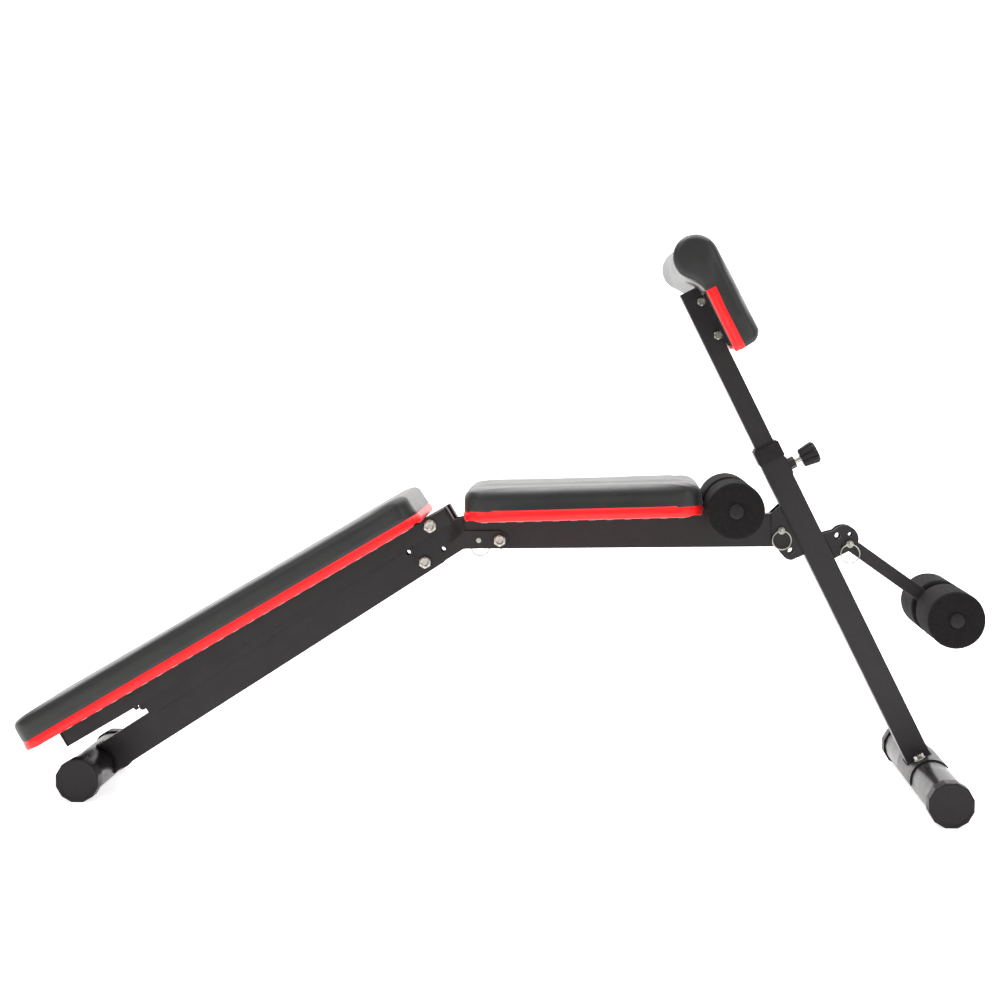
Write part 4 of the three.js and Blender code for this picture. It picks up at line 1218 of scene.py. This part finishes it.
# ---------------------------------------------------------------- fasteners and small parts
@dataclass
class Fasteners:
    """Bolts, nuts, ring pins, the knob and the other small parts."""

    def build(self) -> None:
        """Make every fastener and small part."""
        for name, body in (("bracket", "rear_leg"), ("rear_pivot", "rear_leg"),
                           ("backrest_pivot", "backrest")):
            self.bolt(f"{name}_bolt", body)
            self.nut(f"{name}_nut", body)
        for index in (1, 2):
            self.bolt(f"arm_pad_bolt_{index}", "arm_post")
        for word, _ in SIDES:
            self.saddle_bolt(f"front_foot_bolt_{word}")
            for end in ("upper", "lower"):
                self.moulded(f"rail_plug_{end}_{word}", "backrest", 0.9 * MM)
        self.moulded("post_collar", "front_post", 1.6 * MM)
        for name in ("rear_lock", "front", "leg"):
            self.ring_pin(name)
        self.knob()
        for node in ("backrest_pivot_sleeve", "strut_hinge_pin"):
            frame["nodes"][node].data.materials[0] = Skin.ZINC.value.material()

    def moulded(self, node: str, body: str, edge: float) -> None:
        """Make a moulded plastic part from its CAD node with soft edges."""
        piece = Softening(edge, edge * 0.6, 8 * MM).copy(node, f"{node}_moulded", Skin.PLASTIC)
        settle(piece, body, Skin.PLASTIC, node)

    def hexagon(self, flat: float, thick: float, where: Matrix, hole: float = 0.0,
                dish: float = 0.0) -> bmesh.types.BMesh:
        """Make a hexagon with both rims turned to a cone, as on real bolt heads and nuts.

        Args:
            flat: half the width across the flats.
            thick: its thickness along Y.
            where: the matrix that places it.
            hole: radius of a bore, or 0.
            dish: depth of the hollow stamped in the -Y face.

        Returns:
            The hexagon.
        """
        wide = flat / math.cos(math.pi / 6)
        six = polygon_radius(6)

        def limited(angle: float, r: float, y: float) -> float:
            return min(six(angle, flat), r) if r > hole * 1.4 and r > flat * 0.9 else r

        half = thick / 2
        cone = 0.10 * thick
        rings = [(flat * 0.94, -half), (wide * 0.97, -half + cone), (wide, -half + 2 * cone),
                 (wide, half - 2 * cone), (wide * 0.97, half - cone), (flat * 0.94, half)]
        if hole:
            profile = [(hole, half), (hole, -half), *rings]
            return turned(profile, where, 48, closed=True, shape=limited)
        hollow = [(0, dish - half), (flat * 0.5, dish - half), (flat * 0.68, -half)]
        return turned([*hollow, *rings, (0, half)], where, 48, shape=limited)

    def washer(self, r: float, hole: float, y0: float, y1: float, spot: Vector) -> bmesh.types.BMesh:
        """Make a washer with eased rims about the Y axis through a point."""
        ease = abs(y1 - y0) * 0.3
        profile = eased([(hole, y0, 0), (r, y0, ease), (r, y1, ease), (hole, y1, 0), (hole, y0, 0)])[:-1]
        return turned(profile, Matrix.Translation((spot.x, 0, spot.z)), 40, closed=True)

    def bolt(self, node: str, body: str) -> None:
        """Make a hexagon bolt whose head faces the near side, with its washer and shank."""
        low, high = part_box(node)
        spot = middle(node)
        flat = (high[0] - low[0]) / 2 * 0.97
        thick = 6 * MM
        head = Matrix.Translation((spot.x, low[1] + thick / 2, spot.z))
        inner = low[1] + thick
        raised = Matrix.Translation((0, -0.6 * MM, 0)) @ head
        shapes = [self.hexagon(flat, thick - 1.2 * MM, raised, dish=1.1 * MM),
                  self.washer(flat * 1.05, flat * 0.5, inner - 1.2 * MM, inner, spot)]
        if high[1] > inner + 2 * MM:
            shapes.append(turned(eased([(0, inner - 2 * MM, 0), (4.8 * MM, inner - 2 * MM, 0),
                                        (4.8 * MM, high[1], 0.8 * MM), (0, high[1], 0)]),
                                 Matrix.Translation((spot.x, 0, spot.z)), 24))
        settle(make_object(f"{node}_zinc", merge(*shapes), Skin.ZINC), body, Skin.ZINC, node)

    def nut(self, node: str, body: str) -> None:
        """Make a lock nut: a hexagon with a round collar on its far face."""
        low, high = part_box(node)
        spot = middle(node)
        flat = (high[0] - low[0]) / 2 * 0.97
        thick = (high[1] - low[1]) * 0.75
        where = Matrix.Translation((spot.x, low[1] + thick / 2, spot.z))
        bore, start, rim = 5.2 * MM, low[1] + thick - 0.5 * MM, flat * 0.86
        collar = eased([(bore, start, 0), (rim, start, 0), (rim, high[1], 1 * MM),
                        (bore, high[1], 0.3 * MM), (bore, start, 0)])[:-1]
        shapes = [self.hexagon(flat, thick, where, hole=bore),
                  turned(collar, Matrix.Translation((spot.x, 0, spot.z)), 40, closed=True)]
        settle(make_object(f"{node}_zinc", merge(*shapes), Skin.ZINC), body, Skin.ZINC, node)

    def saddle_bolt(self, node: str) -> None:
        """Make a flanged bolt that stands square on the foot's saddle, along the post."""
        low, high = POST.extent(node)
        y = (low.y + high.y) / 2
        stand = POST.matrix() @ Matrix.Translation((high.x, y, 0)) @ Matrix.Rotation(-math.pi / 2, 4, "Z")
        shapes = [self.hexagon(6.6 * MM, 6 * MM, stand @ Matrix.Translation((0, -3 * MM, 0))),
                  turned(eased([(0, -5.6 * MM, 0), (6.6 * MM, -5.6 * MM, 0), (8.6 * MM, -6.6 * MM, 0.5 * MM),
                                (8.6 * MM, -7.5 * MM, 0.3 * MM), (0, -7.5 * MM, 0)]), stand, 40),
                  turned([(0, -7 * MM), (4 * MM, -7 * MM), (4 * MM, low.x - high.x),
                          (0, low.x - high.x)], stand, 24)]
        settle(make_object(f"{node}_zinc", merge(*shapes), Skin.ZINC), "front_post", Skin.ZINC, node)

    def ring_pin(self, name: str) -> None:
        """Make a pin with a turned collar and a flat eye, and the wire ring through it."""
        pin, ring = f"{name}_pin", f"{name}_ring"
        low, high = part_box(ring)
        spot = middle(ring)
        wire = (high[1] - low[1]) / 2
        r = (high[2] - low[2]) / 2 - wire
        section = [(r + wire * math.cos(math.radians(30 * k)), wire * math.sin(math.radians(30 * k)))
                   for k in range(12)]
        loop = turned(section, Matrix.Translation(spot), 64, closed=True)
        settle(make_object(f"{ring}_wire", loop, Skin.ZINC, math.pi), ring, Skin.ZINC, ring)
        piece = Softening(1 * MM, 0.5 * MM, 6 * MM).copy(pin, f"{pin}_zinc", Skin.ZINC)
        settle(piece, pin, Skin.ZINC, pin)

    def knob(self) -> None:
        """Make the pull pin's fluted knob and its plunger."""
        low, high = POST.extent("pull_knob")
        height = (low.x + high.x) / 2
        start, end = -high.z, -low.z
        small, large = 14.4 * MM, 17.6 * MM
        turn = Matrix.Rotation(-math.pi / 2, 4, "X")
        where = POST.matrix() @ Matrix.Translation((height, 0, 0)) @ turn
        bore, dish = 4.6 * MM, end - 0.9 * MM
        profile = eased([(bore, start, 0), (small * 0.9, start, 1 * MM),
                         (small, start + 1.6 * MM, 0.8 * MM), (large, end - 4 * MM, 2.5 * MM),
                         (large * 0.78, end, 2 * MM), (large * 0.5, end, 1 * MM),
                         (large * 0.42, dish, 0.5 * MM), (0, dish, 0)], 5)

        def fluted(angle: float, r: float, y: float) -> float:
            if r < small * 0.8:
                return r
            dip = max(0.0, math.cos(10 * angle)) ** 3
            return r - 1.9 * MM * dip

        closed_profile = [*profile, (0, start + 14 * MM), (bore, start + 14 * MM)]
        bm = turned(closed_profile, where, 120, closed=True, shape=fluted)
        bmesh.ops.remove_doubles(bm, verts=bm.verts, dist=0.01 * MM)
        bmesh.ops.recalc_face_normals(bm, faces=bm.faces)
        made = make_object("pull_knob_moulded", bm, Skin.PLASTIC, math.radians(50))
        settle(made, "plunger", Skin.PLASTIC, "pull_knob")
        rod = Softening(1 * MM, 0.5 * MM, 50 * MM).copy("pull_plunger", "pull_plunger_zinc", Skin.ZINC)
        settle(rod, "plunger", Skin.ZINC, "pull_plunger")


# ---------------------------------------------------------------- studio
@dataclass
class Studio:
    """A pale backdrop, soft lights and the camera."""

    place: Vector = Vector((0.1452, -2.9079, 0.6660))
    down: float = 4.2515
    left: float = 2.751
    lens: float = 68.41
    ambient: float = 0.4

    def build(self) -> None:
        """Make the floor, the lights and the camera."""
        scene = bpy.context.scene
        scene.view_settings.view_transform = "Standard"
        self.backdrop()
        world = bpy.data.worlds.new("white_room")
        world.use_nodes = True
        world.node_tree.nodes["Background"].inputs["Color"].default_value = linear("#ffffff")
        world.node_tree.nodes["Background"].inputs["Strength"].default_value = self.ambient
        scene.world = world
        self.softbox("top", (0.1, 0.2, 3.0), 3.4, 125)
        self.softbox("key", (-1.6, -2.6, 2.6), 1.6, 30)
        self.softbox("side", (2.4, -2.4, 1.4), 1.2, 16)
        data = bpy.data.cameras.new("camera")
        data.lens = self.lens
        data.sensor_width = 36
        camera = bpy.data.objects.new("camera", data)
        camera.location = self.place
        camera.rotation_euler = (math.radians(90 - self.down), 0, math.radians(self.left))
        scene.collection.objects.link(camera)
        scene.camera = camera

    def backdrop(self) -> bpy.types.Object:
        """Make one sheet of paper: the floor, a wide curve and the wall behind.

        Returns:
            The sheet.
        """
        turn, wall, front, side = 1.2, 3.2, -7.0, 9.0
        profile = [(front, 0.0)]
        for k in range(17):
            a = math.radians(90 * k / 16)
            profile.append((wall - turn + turn * math.sin(a), turn * (1 - math.cos(a))))
        profile.append((wall, 8.0))
        bm = bmesh.new()
        rows = [[bm.verts.new((x, y, z)) for x in (-side, side)] for y, z in profile]
        for (a, b), (d, c) in zip(rows, rows[1:]):
            bm.faces.new((a, b, c, d))
        return make_object("backdrop", bm, Skin.PAPER)

    def softbox(self, name: str, place: tuple[float, float, float], size: float, power: float) -> None:
        """Hang a square softbox that looks at the bench."""
        data = bpy.data.lights.new(name, "AREA")
        data.size = size
        data.energy = power
        lamp = bpy.data.objects.new(name, data)
        lamp.location = place
        aim = Vector((0, 0, 0.4)) - Vector(place)
        lamp.rotation_euler = aim.to_track_quat("-Z", "Y").to_euler()
        bpy.context.scene.collection.objects.link(lamp)


def build_bench() -> None:
    """Build the studio and every part of the bench."""
    Studio().build()
    SteelFrame().build()
    Pad("seat", "seat", SEAT_PAD, corner=34 * MM, sag=2 * MM).build()
    Pad("backrest", "backrest", BACK).build()
    ArmPad("arm_pad", "arm_post", Axes(middle("front_foot_tube"), 26.5 - 90)).build()
    Rollers("seat", "seat").build()
    Rollers("leg", "leg_bar").build()
    Foot("rear", "rear_leg").build()
    Foot("front", "front_post").build()
    Fasteners().build()


def write_size() -> None:
    """Bring the view layer up to date; no box is written."""
    bpy.context.view_layer.update()


if __name__ == "__main__":
    logging.basicConfig(level=logging.INFO, format="%(name)s: %(message)s")
    build_bench()
    write_size()
